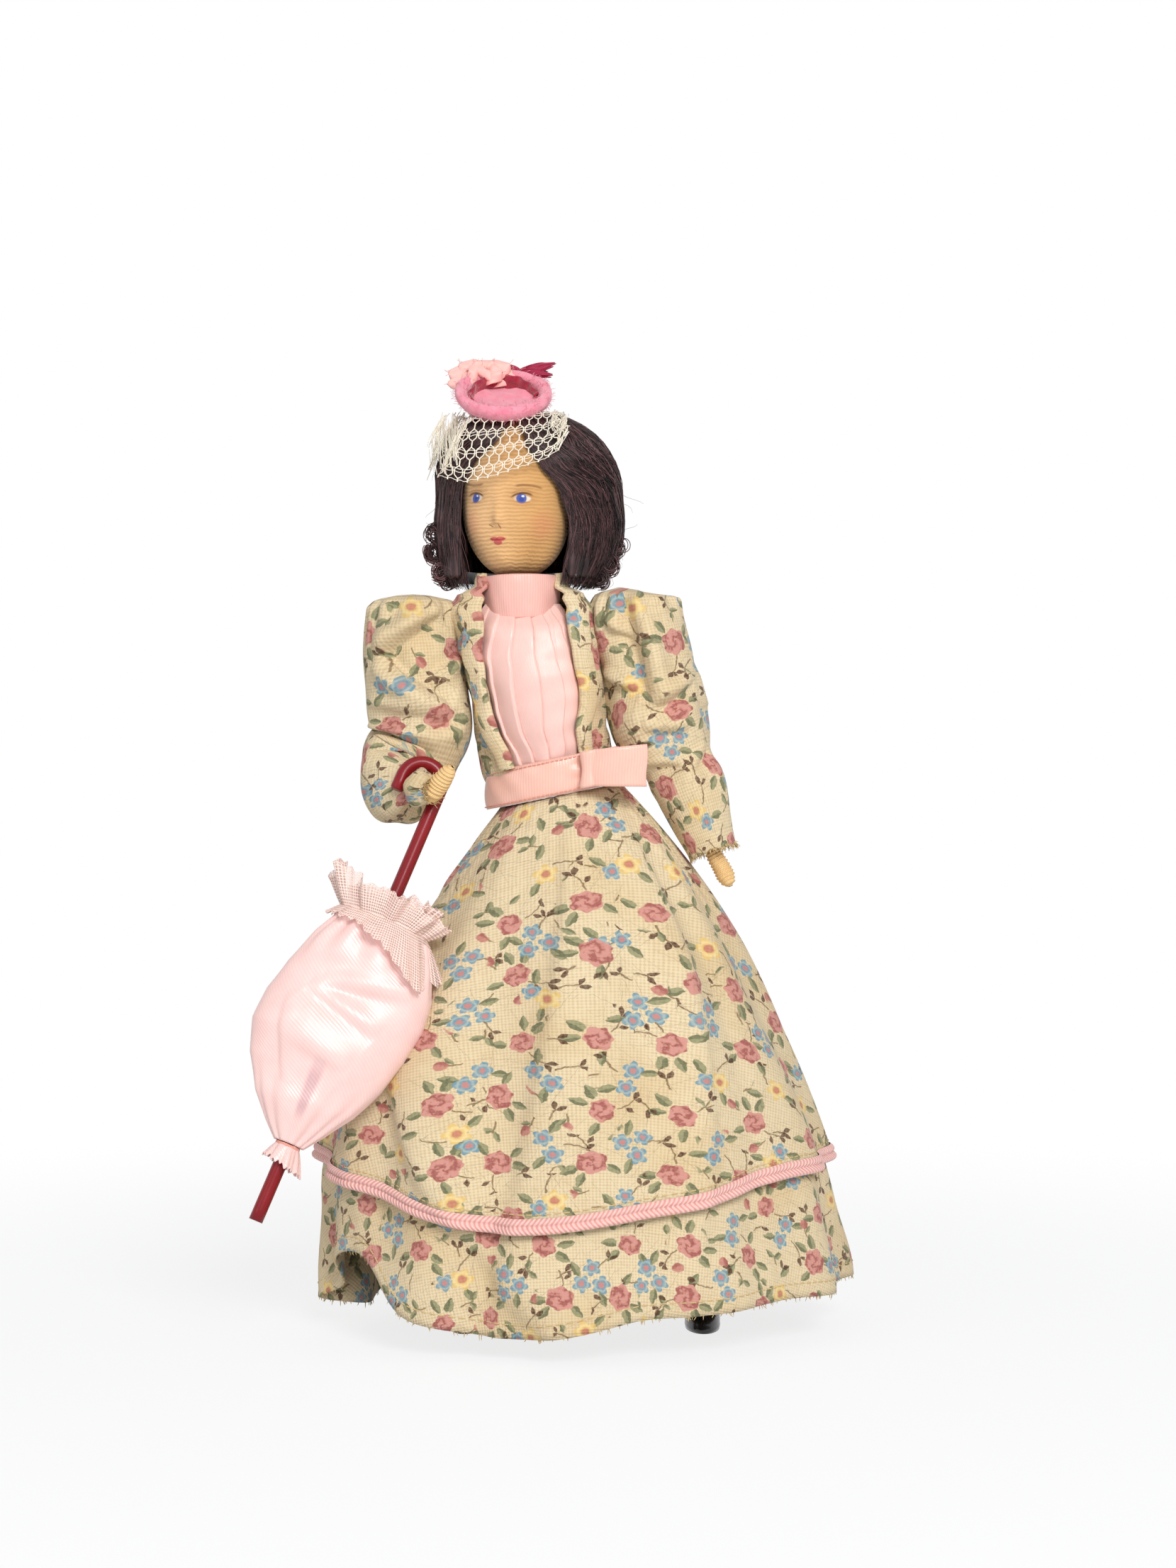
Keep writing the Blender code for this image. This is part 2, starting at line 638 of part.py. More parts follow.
def hair_row(z, margin, start, end, count, hair=1.0):
    """Points round the head between two angles; hair hangs straight below the widest place."""
    middle = (HEAD_TOP_Z + HEAD_BOTTOM_Z) / 2
    points = []
    for angle in steps(start, end, count):
        out = margin + hair * hair_thickness(z, angle)
        half_width, half_depth = head_half(max(z, middle), 0)
        points.append(level_point(HEAD_X, 0, z, half_width + out, half_depth + out, angle))
    return points


def wig_mass(name, head, start, end, count):
    heights = steps(WIG_BOTTOM_Z, WIG_TOP_Z, 7)
    outer = [hair_row(z, CLEAR + WIG_CAP, start, end, count) for z in heights]
    inner = [hair_row(z, CLEAR, start, end, count, 0.0) for z in heights]
    add_node(name, "hair", head, *panel_loft(outer, inner))


def make_wig(head):
    wig_mass("wig_left", head, WIG_FRONT_LEFT, WIG_SEAM - WIG_PART, 7)
    wig_mass("wig_right", head, -WIG_SEAM + WIG_PART, WIG_FRONT_RIGHT, 7)
    wig_mass("wig_back", head, WIG_SEAM + WIG_PART, 2 * pi - WIG_SEAM - WIG_PART, 17)
    inner = [head_ring(z, CLEAR) for z in steps(WIG_TOP_Z + CLEAR, HEAD_TOP_Z, 3)[:2]]
    inner_pole = Vector((HEAD_X, 0, HEAD_TOP_Z + CLEAR))
    add_node("wig_crown", "hair", head, *cup_loft(crown_rings(), crown_pole(), inner, inner_pole))


def crown_rings():
    return [head_ring(z, CLEAR + WIG_CAP) for z in steps(WIG_TOP_Z + CLEAR, HEAD_TOP_Z, 3)]


def crown_pole():
    return Vector((HEAD_X, 0, HEAD_TOP_Z + CLEAR + WIG_CAP))


def hat_seat():
    """Centre of the hat's floor, where its underside just clears the crown of the wig."""
    up = Vector((0, -sin(HAT_PITCH), cos(HAT_PITCH)))
    reach = max(up.dot(p) for p in [crown_pole()] + [p for row in crown_rings() for p in row])
    level = (reach + CLEAR + HAT_FELT - up.y * HAT_Y) / up.z
    return Vector((HAT_X, HAT_Y, level))


def hat_point(along, back, up):
    """A point given in the hat's own leaning frame."""
    turn = Matrix.Rotation(HAT_PITCH, 3, "X")
    return hat_seat() + turn @ Vector((along, back, up))


def hat_ring(radius, height):
    turns = [2 * pi * i / SIDES for i in range(SIDES)]
    return [hat_point(radius * cos(turn), radius * sin(turn), height) for turn in turns]


def make_hat(head):
    wall = HAT_FELT
    outer = [(HAT_R, HAT_DEPTH - wall), (HAT_R, HAT_DEPTH - wall * 1.6), (HAT_R * 0.94, 0.0),
             (HAT_R * 0.76, -wall)]
    inner = [(HAT_R - wall, HAT_DEPTH - wall), (HAT_R - wall * 1.2, HAT_DEPTH - wall * 1.6),
             (HAT_R - wall * 1.7, 0.0)]
    rings = [hat_ring(r, h) for r, h in outer]
    hollow = [hat_ring(r, h) for r, h in inner]
    floor_under = hat_point(0, 0, -wall)
    floor_inside = hat_point(0, 0, 0)
    add_node("hat_brim", "felt", head, *cup_loft(rings, floor_under, hollow, floor_inside))
    lining_r = HAT_R - wall * 1.7 - CLEAR
    lining = [hat_ring(lining_r, CLEAR), hat_ring(lining_r, CLEAR + LINING)]
    add_node("hat_lining", "crimson", head, *solid_loft(lining))

    seat = HAT_R + CLEAR
    place = (-HAT_R * 0.52, seat + FLOWER_DEPTH * 0.35)
    levels = [(-0.5, 0.55), (-0.2, 0.95), (0.2, 1.0), (0.5, 0.6)]
    rows = []
    for part, size in levels:
        row = []
        for i in range(25):
            turn = 2 * pi * i / 25
            reach = FLOWER_R * size * (1 + 0.16 * cos(5 * turn))
            row.append(hat_point(place[0] + reach * cos(turn),
                                 place[1] + FLOWER_DEPTH * (part + 0.5),
                                 HAT_DEPTH * 0.2 + reach * sin(turn) * 0.62))
        rows.append(row)
    add_node("hat_flower", "salmon", head, *solid_loft(rows))

    bow_x = HAT_R * 0.70
    rows = []
    for part, size in ((-0.5, 0.7), (-0.3, 1.0), (0.0, 0.45), (0.3, 1.0), (0.5, 0.7)):
        row = []
        for i in range(12):
            turn = 2 * pi * i / 12
            row.append(hat_point(bow_x + HAT_BOW_LENGTH * part,
                                 seat + HAT_BOW_R + HAT_BOW_R * size * cos(turn),
                                 HAT_BOW_R * size * sin(turn)))
        rows.append(row)
    add_node("hat_bow", "crimson", head, *solid_loft(rows))

    heights = steps(VEIL_BOTTOM_Z, VEIL_TOP_Z, 5)
    margin = 2 * CLEAR + WIG_CAP
    outer = [hair_row(z, margin + VEIL, VEIL_RIGHT, VEIL_LEFT, 17) for z in heights]
    inner = [hair_row(z, margin, VEIL_RIGHT, VEIL_LEFT, 17) for z in heights]
    add_node("hat_veil", "net", head, *panel_loft(outer, inner))


# Limbs

def ball_profile(radius, hole):
    """Rings over the near half of a ball, from its hole to its widest place."""
    start = sqrt(radius * radius - (hole * 1.6) ** 2)
    profile = []
    for share in (1.0, 0.88, 0.66, 0.36, 0.0):
        t = -start * share
        profile.append((t, sqrt(radius * radius - t * t)))
    return profile


def cut_back(end_ring, start, direction, slope):
    """Draw the front of a limb's last ring back, so that the next segment can fold up to it."""
    points = []
    for p in end_ring:
        away = p - start
        front = -(away - direction * away.dot(direction)).y
        points.append(p - direction * slope * max(front, 0.0))
    return points


def make_segment(cover_name, wire_name, kind, carrier, start, end, ball, profile, bore, wire_end,
                 slope=0.0):
    """A stuffed limb segment with a ball at its joint, and the wire inside it."""
    direction = (end - start).normalized()
    full = ball_profile(ball, bore) + profile
    outer = limb_rings(start, direction, full)
    inner = limb_rings(start, direction, [(t, bore) for t, r in full])
    outer[-1] = cut_back(outer[-1], start, direction, slope)
    inner[-1] = cut_back(inner[-1], start, direction, slope)
    add_node(cover_name, kind, carrier, *shell_loft(outer, inner))
    wire = limb_rings(start, direction, [(full[0][0] + CLEAR, WIRE_R), (wire_end, WIRE_R)], 8)
    add_node(wire_name, "wire", carrier, *solid_loft(wire))


def make_hand(name, carrier, cuff, wrist, palm, fingers):
    """Wire wound with thread: round at the wrist, wider at the palm, tapering at the fingers."""
    forearm = (wrist - cuff).normalized()
    start = cuff - forearm * CUFF_R * 0.5
    reach = fingers - palm
    straight = min(STICK_R + 2 * CLEAR, (palm - wrist).length / 2)
    path = [start, wrist + forearm * straight, palm, palm + reach * 0.45, palm + reach * 0.85,
            fingers]
    sizes = [1.0, 1.0, 1.06, 1.12, 0.85, 0.4]
    rings = []
    side = forearm.cross(reach).normalized()
    for i, (point, size) in enumerate(zip(path, sizes)):
        along = (path[min(i + 1, len(path) - 1)] - path[max(i - 1, 0)]).normalized()
        up = along.cross(side).normalized()
        rings.append(ring(point, side * WRIST_R * size, up * WRIST_R * size, 12))
    add_node(name, "skin", carrier, *solid_loft(rings))


def make_arm(word, upper, lower, shoulder, elbow, wrist, palm, fingers, cuff_back, sleeve_end,
             cut=0.0):
    length = (elbow - shoulder).length
    stop = length - ELBOW_R - CLEAR
    middle = (PUFF_R + sleeve_end) / 2
    profile = [(PUFF_R * 0.45, PUFF_R * 0.97), (stop * 0.72, middle), (stop, sleeve_end)]
    make_segment(word + "_upper_sleeve", word + "_upper_arm_wire", "cloth", upper,
                 shoulder, elbow, PUFF_R, profile, BORE_R, stop - 2 * WIRE_R * cut, cut)
    forearm = (wrist - elbow).length - cuff_back
    profile = [(forearm * 0.45, (ELBOW_R + CUFF_R) / 2), (forearm * 0.85, CUFF_R),
               (forearm, CUFF_R * 1.08)]
    bore = WRIST_R + CLEAR
    make_segment(word + "_forearm_sleeve", word + "_forearm_wire", "cloth", lower,
                 elbow, wrist, ELBOW_R, profile, bore, forearm - CUFF_R * 0.5 - CLEAR)
    direction = (wrist - elbow).normalized()
    make_hand(word + "_hand", lower, elbow + direction * forearm, wrist, palm, fingers)


def hip_place(x):
    """Centre of a hip ball, just under the hip pad."""
    low = SKIRT_TOP_Z + CLEAR - HIP_HEIGHT
    seat = tilt_height((x, 0, low)).z
    return Vector((x, 0, seat - (HIP_BALL_R + CLEAR) / cos(WAIST_TILT)))


def ankle_place(x):
    return Vector((x, ANKLE_Y, SHOE_HEIGHT + CLEAR))


def knee_place(hip, ankle):
    return hip + (ankle - hip) * KNEE_SHARE


def make_leg(word, thigh, shin, hip, ankle):
    knee = knee_place(hip, ankle)
    stop = (knee - hip).length - KNEE_R - CLEAR
    make_segment(word + "_thigh_wrap", word + "_thigh_wire", "wool", thigh, hip, knee,
                 HIP_BALL_R, [(stop * 0.5, HIP_BALL_R * 0.94), (stop, KNEE_R)], BORE_R, stop)
    length = (ankle - knee).length - CLEAR
    make_segment(word + "_shin_wrap", word + "_shin_wire", "wool", shin, knee, ankle,
                 KNEE_R, [(length * 0.35, KNEE_R * 1.04), (length, ANKLE_R)], BORE_R, length)
    toe = Vector((0, -1, 0))
    heel_y = ANKLE_Y + ANKLE_R
    rows = []
    for z, long, wide in ((0, 1.0, 0.92), (SHOE_SOLE, 1.02, 1.0), (SHOE_HEIGHT * 0.42, 0.95, 0.98),
                          (SHOE_HEIGHT * 0.72, 0.66, 0.8), (SHOE_HEIGHT, 0.34, 0.66)):
        half = SHOE_LENGTH * long / 2
        centre = Vector((ankle.x, heel_y, z)) + toe * half
        rows.append(ring(centre, Vector((SHOE_WIDTH / 2 * wide, 0, 0)), toe * -half, 20))
    add_node(word + "_shoe", "shoe", shin, *solid_loft(rows))


# Parasol

def parasol_axes():
    """Stick direction, the way across the crook, and the crook's own axis."""
    ahead = Vector((0, -1, 0))
    axis = (ahead - STICK_AIM * ahead.dot(STICK_AIM)).normalized()
    return STICK_AIM, axis.cross(STICK_AIM).normalized(), axis


def make_parasol(carrier):
    down, side, axis = parasol_axes()
    drop = CROOK_R - STICK_R - WRIST_R - CLEAR
    crook = WRIST_RIGHT + down * drop
    top = crook + side * CROOK_R
    path = [crook - side * CROOK_R + down * CROOK_LEG]
    for turn in steps(pi, 0, 13):
        path.append(crook + side * CROOK_R * cos(turn) - down * CROOK_R * sin(turn))
    path.append(top + down * STICK_LENGTH * 0.5)
    path.append(top + down * STICK_LENGTH)
    rings = []
    for i, point in enumerate(path):
        along = (path[min(i + 1, len(path) - 1)] - path[max(i - 1, 0)]).normalized()
        rings.append(ring(point, axis * STICK_R, axis.cross(along) * STICK_R, 12))
    add_node("parasol_stick", "lacquer", carrier, *solid_loft(rings))

    hole = STICK_R + CLEAR
    end = COVER_START + COVER_LENGTH
    shapes = {
        "parasol_cover": ("satin", COVER_START, COVER_LENGTH, COVER_HALF_WIDTH, COVER_HALF_DEPTH,
                          [(0, 0.55), (0.15, 0.86), (0.4, 1.0), (0.65, 0.95), (0.85, 0.66), (1, 0.2)]),
        "parasol_lace": ("lace", COVER_START - LACE_LENGTH - CLEAR, LACE_LENGTH, LACE_HALF_WIDTH,
                         LACE_HALF_DEPTH, [(0, 0.95), (0.35, 1.0), (0.75, 0.7), (1, 0.5)]),
        "parasol_tie": ("satin", end + CLEAR, TIE_LENGTH, TIE_R, TIE_R,
                        [(0, 0.7), (0.45, 0.8), (1, 1.15)]),
    }
    for name, (kind, start, length, half_width, half_depth, profile) in shapes.items():
        outer, inner = [], []
        for share, size in profile:
            centre = top + down * (start + length * share)
            wide = max(half_width * size, hole + RIBBON)
            deep = max(half_depth * size, hole + RIBBON)
            outer.append(ring(centre, side * wide, axis * deep))
            inner.append(ring(centre, side * hole, axis * hole))
        add_node(name, kind, carrier, *shell_loft(outer, inner))


def centre_on_floor(root):
    """Move the whole doll so that its box stands on the origin."""
    bpy.context.view_layer.update()
    corners = [node.matrix_world @ Vector(v.co) for node in bpy.data.objects
               if node.type == "MESH" for v in node.data.vertices]
    low = Vector([min(c[k] for c in corners) for k in range(3)])
    high = Vector([max(c[k] for c in corners) for k in range(3)])
    root.location = Vector((-(low.x + high.x) / 2, -(low.y + high.y) / 2, -low.z))
    bpy.context.view_layer.update()


def main():
    clear_scene()
    root = make_carrier("doll", Vector(), None)
    make_skirts(root)
    make_trunk(root)
    make_belt(root)
    make_neck(root)

    head = make_carrier("head_axis", Vector((NECK_X, 0, NECK_TOP_Z)), root)
    make_head(head)
    make_wig(head)
    make_hat(head)

    upper = make_carrier("left_shoulder_axis", SHOULDER_LEFT, root)
    lower = make_carrier("left_elbow_axis", ELBOW_LEFT, upper)
    make_arm("left", upper, lower, SHOULDER_LEFT, ELBOW_LEFT, WRIST_LEFT, PALM_LEFT, FINGERS_LEFT,
             CUFF_BACK_LEFT, SLEEVE_END_LEFT)
    upper = make_carrier("right_shoulder_axis", SHOULDER_RIGHT, root)
    lower = make_carrier("right_elbow_axis", ELBOW_RIGHT, upper)
    make_arm("right", upper, lower, SHOULDER_RIGHT, ELBOW_RIGHT, WRIST_RIGHT, PALM_RIGHT,
             FINGERS_RIGHT, CUFF_BACK_RIGHT, SLEEVE_END_RIGHT, ELBOW_CUT)
    make_parasol(make_carrier("parasol_axis", WRIST_RIGHT, lower))

    for word, hip_x, ankle_x in (("left", HIP_LEFT_X, ANKLE_LEFT_X),
                                 ("right", HIP_RIGHT_X, ANKLE_RIGHT_X)):
        hip = hip_place(hip_x)
        ankle = ankle_place(ankle_x)
        thigh = make_carrier(word + "_hip_axis", hip, root)
        shin = make_carrier(word + "_knee_axis", knee_place(hip, ankle), thigh)
        make_leg(word, thigh, shin, hip, ankle)
    centre_on_floor(root)


main()
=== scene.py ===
"""Look of the miniature cloth doll with a hat and a parasol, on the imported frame.

Shapes are worked out in millimetres in the doll's own place and moved into the row frame.
"""
import json
from math import cos, hypot, pi, radians, sin, sqrt, tan
import bpy
import numpy as np
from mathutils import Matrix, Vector


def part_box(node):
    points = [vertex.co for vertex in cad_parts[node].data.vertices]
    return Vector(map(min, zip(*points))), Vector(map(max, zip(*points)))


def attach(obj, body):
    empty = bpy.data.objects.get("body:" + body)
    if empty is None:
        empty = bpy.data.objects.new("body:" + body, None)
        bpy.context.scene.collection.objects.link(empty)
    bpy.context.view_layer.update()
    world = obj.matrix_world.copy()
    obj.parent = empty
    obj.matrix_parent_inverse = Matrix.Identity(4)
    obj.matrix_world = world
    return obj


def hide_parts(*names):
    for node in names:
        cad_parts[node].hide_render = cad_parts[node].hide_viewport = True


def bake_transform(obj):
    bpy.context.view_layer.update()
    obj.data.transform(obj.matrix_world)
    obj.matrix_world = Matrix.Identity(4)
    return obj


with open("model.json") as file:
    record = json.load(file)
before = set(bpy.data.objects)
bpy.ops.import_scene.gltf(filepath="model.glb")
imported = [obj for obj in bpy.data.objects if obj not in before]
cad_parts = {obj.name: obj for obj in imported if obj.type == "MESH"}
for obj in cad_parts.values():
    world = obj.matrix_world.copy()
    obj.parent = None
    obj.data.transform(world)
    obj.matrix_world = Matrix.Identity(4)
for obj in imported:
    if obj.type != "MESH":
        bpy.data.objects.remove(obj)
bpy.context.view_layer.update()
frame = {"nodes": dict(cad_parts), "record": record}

MM = 0.001
NECK_X = -8.7
JOINTS = {j["name"]: j for j in frame["record"]["behaviour"]["joints"]}
TURN = np.array(JOINTS["head_turn"]["pos_m"], float)
SHIFT = np.array([TURN[0] - NECK_X * MM, TURN[1], 0.0])


def row_frame(points):
    """Doll millimetres to metres in the row frame."""
    return np.asarray(points, float) * MM + SHIFT


def ease(share):
    share = np.clip(share, 0.0, 1.0)
    return share * share * (3 - 2 * share)


def through(points, value):
    """Smooth value at places between (place, value) pairs in rising order."""
    value = np.asarray(value, float)
    total = np.full(value.shape, float(points[0][1]))
    for (low, first), (high, second) in zip(points, points[1:]):
        total = total + (second - first) * ease((value - low) / (high - low))
    return total


def waves(x, y, size, seed, count=7):
    """Smooth unevenness about as large as one, with features of a given size."""
    rng = np.random.default_rng(seed)
    total = 0.0
    for _ in range(count):
        way, speed, start = rng.uniform(0, 2 * pi), rng.uniform(0.6, 1.5), rng.uniform(0, 2 * pi)
        total = total + np.sin(2 * pi * speed / size * (x * cos(way) + y * sin(way)) + start)
    return total / sqrt(count)


def unit(v):
    v = np.asarray(v, float)
    return v / np.maximum(np.linalg.norm(v, axis=-1, keepdims=True), 1e-9)


def together(*parts):
    """Numbers that fit one another, side by side in a last axis."""
    return np.stack(np.broadcast_arrays(*parts), -1)


def run(points):
    """Distance along a row of points from its first."""
    return np.concatenate([[0], np.cumsum(np.linalg.norm(np.diff(points, axis=0), axis=1))])


def waves_round(turn, along, radius, size, seed, count=7):
    """The same unevenness on a tube, meeting itself after a whole turn."""
    rng = np.random.default_rng(seed)
    x, y = radius * np.cos(turn), radius * np.sin(turn)
    total = 0.0
    for _ in range(count):
        way = unit(rng.normal(size=3)) * rng.uniform(0.6, 1.5) * 2 * pi / size
        total = total + np.sin(way[0] * x + way[1] * y + way[2] * along + rng.uniform(0, 2 * pi))
    return total / sqrt(count)


def new_mesh(name, points, faces, corner_uv, material, shades=None):
    """A smooth mesh object from doll millimetres; corner_uv has one pair for each face corner."""
    mesh = bpy.data.meshes.new(name)
    mesh.from_pydata(row_frame(points).tolist(), [], faces)
    layer = mesh.uv_layers.new(name="UVMap")
    layer.data.foreach_set("uv", np.asarray(corner_uv, np.float32).ravel())
    mesh.polygons.foreach_set("use_smooth", np.ones(len(mesh.polygons), bool))
    if shades is not None:
        shade = mesh.attributes.new("shade", "FLOAT", "POINT")
        shade.data.foreach_set("value", np.asarray(shades, np.float32).ravel())
    mesh.materials.append(material)
    piece = bpy.data.objects.new(name, mesh)
    bpy.context.collection.objects.link(piece)
    return piece


def thicken(piece, thickness, offset):
    """Give a sheet its thickness in millimetres, as part of the mesh."""
    solid = piece.modifiers.new("thickness", "SOLIDIFY")
    solid.thickness = thickness * MM
    solid.offset = offset
    bpy.context.view_layer.update()
    seen = piece.evaluated_get(bpy.context.evaluated_depsgraph_get())
    mesh = bpy.data.meshes.new_from_object(seen)
    piece.modifiers.clear()
    piece.data = mesh
    return piece


def grid(name, points, uv, material, closed=False, thickness=0.0, offset=0.0, shades=None):
    """A sheet from rows of points and their uv; a closed one ends on the column it begins with."""
    points = np.asarray(points, float)
    if closed:
        points = points[:, :-1]
    rows, cols = points.shape[:2]
    r, c = np.meshgrid(np.arange(rows - 1), np.arange(cols if closed else cols - 1), indexing="ij")
    r, c = r.ravel(), c.ravel()
    nxt = (c + 1) % cols
    faces = np.stack([r * cols + c, r * cols + nxt, (r + 1) * cols + nxt, (r + 1) * cols + c], 1)
    uv = np.asarray(uv, float)
    corner_uv = np.stack([uv[r, c], uv[r, c + 1], uv[r + 1, c + 1], uv[r + 1, c]], 1)
    piece = new_mesh(name, points.reshape(-1, 3), faces.tolist(), corner_uv, material, shades)
    return thicken(piece, thickness, offset) if thickness else piece


def tubes(name, paths, radius, material, sides=5, shades=None):
    """Many round threads as one mesh; paths is (threads, places, 3), radius fits (threads, places).

    shades gives each thread a number for its finish."""
    paths = np.asarray(paths, float)
    count, places = paths.shape[:2]
    radius = np.broadcast_to(np.asarray(radius, float), (count, places))
    along = unit(np.gradient(paths, axis=1))
    turn_to = np.where(np.abs(along[:, :1, 1:2]) < 0.8, [[[0.0, 1.0, 0.0]]], [[[1.0, 0.0, 0.0]]])
    side = unit(np.cross(along, turn_to))
    up = np.cross(along, side)
    turn = np.arange(sides) * 2 * pi / sides
    ring = side[:, :, None] * np.cos(turn)[:, None] + up[:, :, None] * np.sin(turn)[:, None]
    points = paths[:, :, None] + ring * radius[:, :, None, None]
    s, n, k = np.meshgrid(np.arange(count), np.arange(places - 1), np.arange(sides), indexing="ij")
    s, n, k = s.ravel(), n.ravel(), k.ravel()
    nxt = (k + 1) % sides
    low, high = (s * places + n) * sides, (s * places + n + 1) * sides
    faces = np.stack([low + k, low + nxt, high + nxt, high + k], 1)
    length = np.concatenate([np.zeros((count, 1)), np.cumsum(np.linalg.norm(
        np.diff(paths, axis=1), axis=2), axis=1)], axis=1)
    corner_uv = np.stack([np.stack([length[s, n + i], (k + j) / sides], 1)
                          for i, j in ((0, 0), (0, 1), (1, 1), (1, 0))], 1)
    if shades is not None:
        shades = np.repeat(shades, places * sides)
    return new_mesh(name, points.reshape(-1, 3), faces.tolist(), corner_uv, material, shades)


def merge(name, pieces):
    """Join pieces with the same material into one object."""
    bpy.ops.object.select_all(action="DESELECT")
    for piece in pieces:
        piece.select_set(True)
    bpy.context.view_layer.objects.active = pieces[0]
    bpy.ops.object.join()
    pieces[0].name = name
    pieces[0].data.name = name
    return pieces[0]


def along_path(path, count):
    """Evenly spaced points on a smooth curve through the given points."""
    path = np.asarray(path, float)
    ends = np.concatenate([[2 * path[0] - path[1]], path, [2 * path[-1] - path[-2]]])
    fine = []
    for i in range(1, len(ends) - 2):
        a, b, c, d = ends[i - 1], ends[i], ends[i + 1], ends[i + 2]
        t = np.linspace(0, 1, 24, endpoint=False)[:, None]
        fine.append(0.5 * (2 * b + (c - a) * t + (2 * a - 5 * b + 4 * c - d) * t ** 2
                           + (3 * b - a - 3 * c + d) * t ** 3))
    fine = np.concatenate(fine + [path[-1:]])
    length = run(fine)
    at = np.linspace(0, length[-1], count)
    return np.stack([np.interp(at, length, fine[:, k]) for k in range(3)], 1)


def finish_piece(piece, body, slot, *nodes):
    """Hang a piece on its body and hide the CAD parts that it stands for. slot, the finish it takes, is
    not used.
    """
    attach(piece, body)
    if nodes:
        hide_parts(*nodes)
    return piece


# Shader helpers


def linear(hexa):
    """A web colour as linear numbers."""
    parts = [int(hexa[i:i + 2], 16) / 255 for i in (1, 3, 5)]
    return [p / 12.92 if p <= 0.04045 else ((p + 0.055) / 1.055) ** 2.4 for p in parts] + [1.0]


def feed(tree, value, socket):
    """Give a shader socket its value: another socket, a web colour or a number."""
    if isinstance(value, Value):
        value = value.socket
    if isinstance(value, bpy.types.NodeSocket):
        tree.links.new(value, socket)
    else:
        socket.default_value = linear(value) if isinstance(value, str) else value


def shader_node(tree, kind, inputs, **settings):
    """A new shader node with its settings, and what goes into its inputs by name or number."""
    node = tree.nodes.new(kind)
    for name, value in settings.items():
        setattr(node, name, value)
    for name, value in inputs.items():
        feed(tree, value, node.inputs[name])
    return node


class Value:
    """A shader socket that can be used in sums."""

    def __init__(self, tree, socket):
        self.tree, self.socket = tree, socket

    def made(self, operation, *others):
        inputs = dict(enumerate((self,) + others))
        node = shader_node(self.tree, "ShaderNodeMath", inputs, operation=operation)
        return Value(self.tree, node.outputs[0])

    def __add__(self, other):
        return self.made("ADD", other)

    def __sub__(self, other):
        return self.made("SUBTRACT", other)

    def __mul__(self, other):
        return self.made("MULTIPLY", other)

    def __rsub__(self, other):
        return self.made("MULTIPLY", -1.0).made("ADD", other)

    __radd__ = __add__
    __rmul__ = __mul__

    def sin(self):
        return self.made("SINE")

    def cos(self):
        return self.made("COSINE")

    def abs(self):
        return self.made("ABSOLUTE")

    def root(self):
        return self.made("SQRT")

    def angle(self, x):
        return self.made("ARCTAN2", x)

    def largest(self, other):
        return self.made("MAXIMUM", other)

    def below(self, limit, soft):
        """1 under a limit, 0 over it, with a soft step."""
        inputs = {"Value": self, "From Min": limit - soft, "From Max": limit + soft,
                  "To Min": 1.0, "To Max": 0.0}
        node = shader_node(self.tree, "ShaderNodeMapRange", inputs, interpolation_type="SMOOTHSTEP")
        return Value(self.tree, node.outputs["Result"])

    def above(self, limit, soft):
        return 1.0 - self.below(limit, soft)


class Finish:
    """One material and the shader values it is made from."""

    def __init__(self, name):
        self.material = bpy.data.materials.new(name)
        self.material.use_nodes = True
        self.tree = self.material.node_tree
        self.shader = self.tree.nodes["Principled BSDF"]

    def uv(self):
        """The two parts of the sheet's own place, in millimetres."""
        return self.split(self.tree.nodes.new("ShaderNodeUVMap").outputs["UV"])[:2]

    def place(self):
        """Where a point lies at rest on the piece, in metres."""
        return self.tree.nodes.new("ShaderNodeTexCoord").outputs["Object"]

    def attribute(self, name):
        node = shader_node(self.tree, "ShaderNodeAttribute", {}, attribute_name=name)
        return Value(self.tree, node.outputs["Fac"])

    def split(self, vector):
        node = shader_node(self.tree, "ShaderNodeSeparateXYZ", {0: vector})
        return [Value(self.tree, out) for out in node.outputs][:3]

    def join(self, x, y):
        return shader_node(self.tree, "ShaderNodeCombineXYZ", {0: x, 1: y}).outputs[0]

    def noise(self, vector, scale, detail=2.0, roughness=0.5):
        inputs = {"Vector": vector, "Scale": scale, "Detail": detail, "Roughness": roughness}
        return Value(self.tree, shader_node(self.tree, "ShaderNodeTexNoise", inputs).outputs["Fac"])

    def cells(self, vector, size, loose):
        """Place within the nearest cell of a scattered grid, and three random numbers for it."""
        inputs = {"Vector": vector, "Scale": 1.0 / size, "Randomness": loose}
        node = shader_node(self.tree, "ShaderNodeTexVoronoi", inputs, voronoi_dimensions="2D")
        away = shader_node(self.tree, "ShaderNodeVectorMath", {0: vector, 1: node.outputs["Position"]},
                           operation="SUBTRACT")
        x, y, _ = self.split(away.outputs[0])
        return x, y, self.split(node.outputs["Color"])

    def mix(self, share, first, second):
        """First colour at 0, second at 1; each is a web colour or a socket."""
        inputs = {"Factor": share, 6: first, 7: second}
        return shader_node(self.tree, "ShaderNodeMix", inputs, data_type="RGBA").outputs[2]

    def set(self, name, value):
        feed(self.tree, value, self.shader.inputs[name])
        return self

    def surface(self, colour, rough, shine=0.5, sheen=0.0):
        """The usual values: colour, roughness, strength of reflection and soft edge light."""
        self.set("Base Color", colour).set("Roughness", rough)
        return self.set("Specular IOR Level", shine).set("Sheen Weight", sheen)

    def bump(self, height, depth, strength):
        """Raise the surface by height times a depth in millimetres; gives the finished material."""
        inputs = {"Strength": strength, "Distance": depth * MM, "Height": height}
        self.set("Normal", shader_node(self.tree, "ShaderNodeBump", inputs).outputs["Normal"])
        return self.material


# Finishes

ROSE_CELL = 10.6             # how far apart the print's roses lie, in millimetres
WEAVE_PITCH = 0.48
PETAL_NOTCH = 0.42           # depth of the dents between a flower's petals, as a share of its size


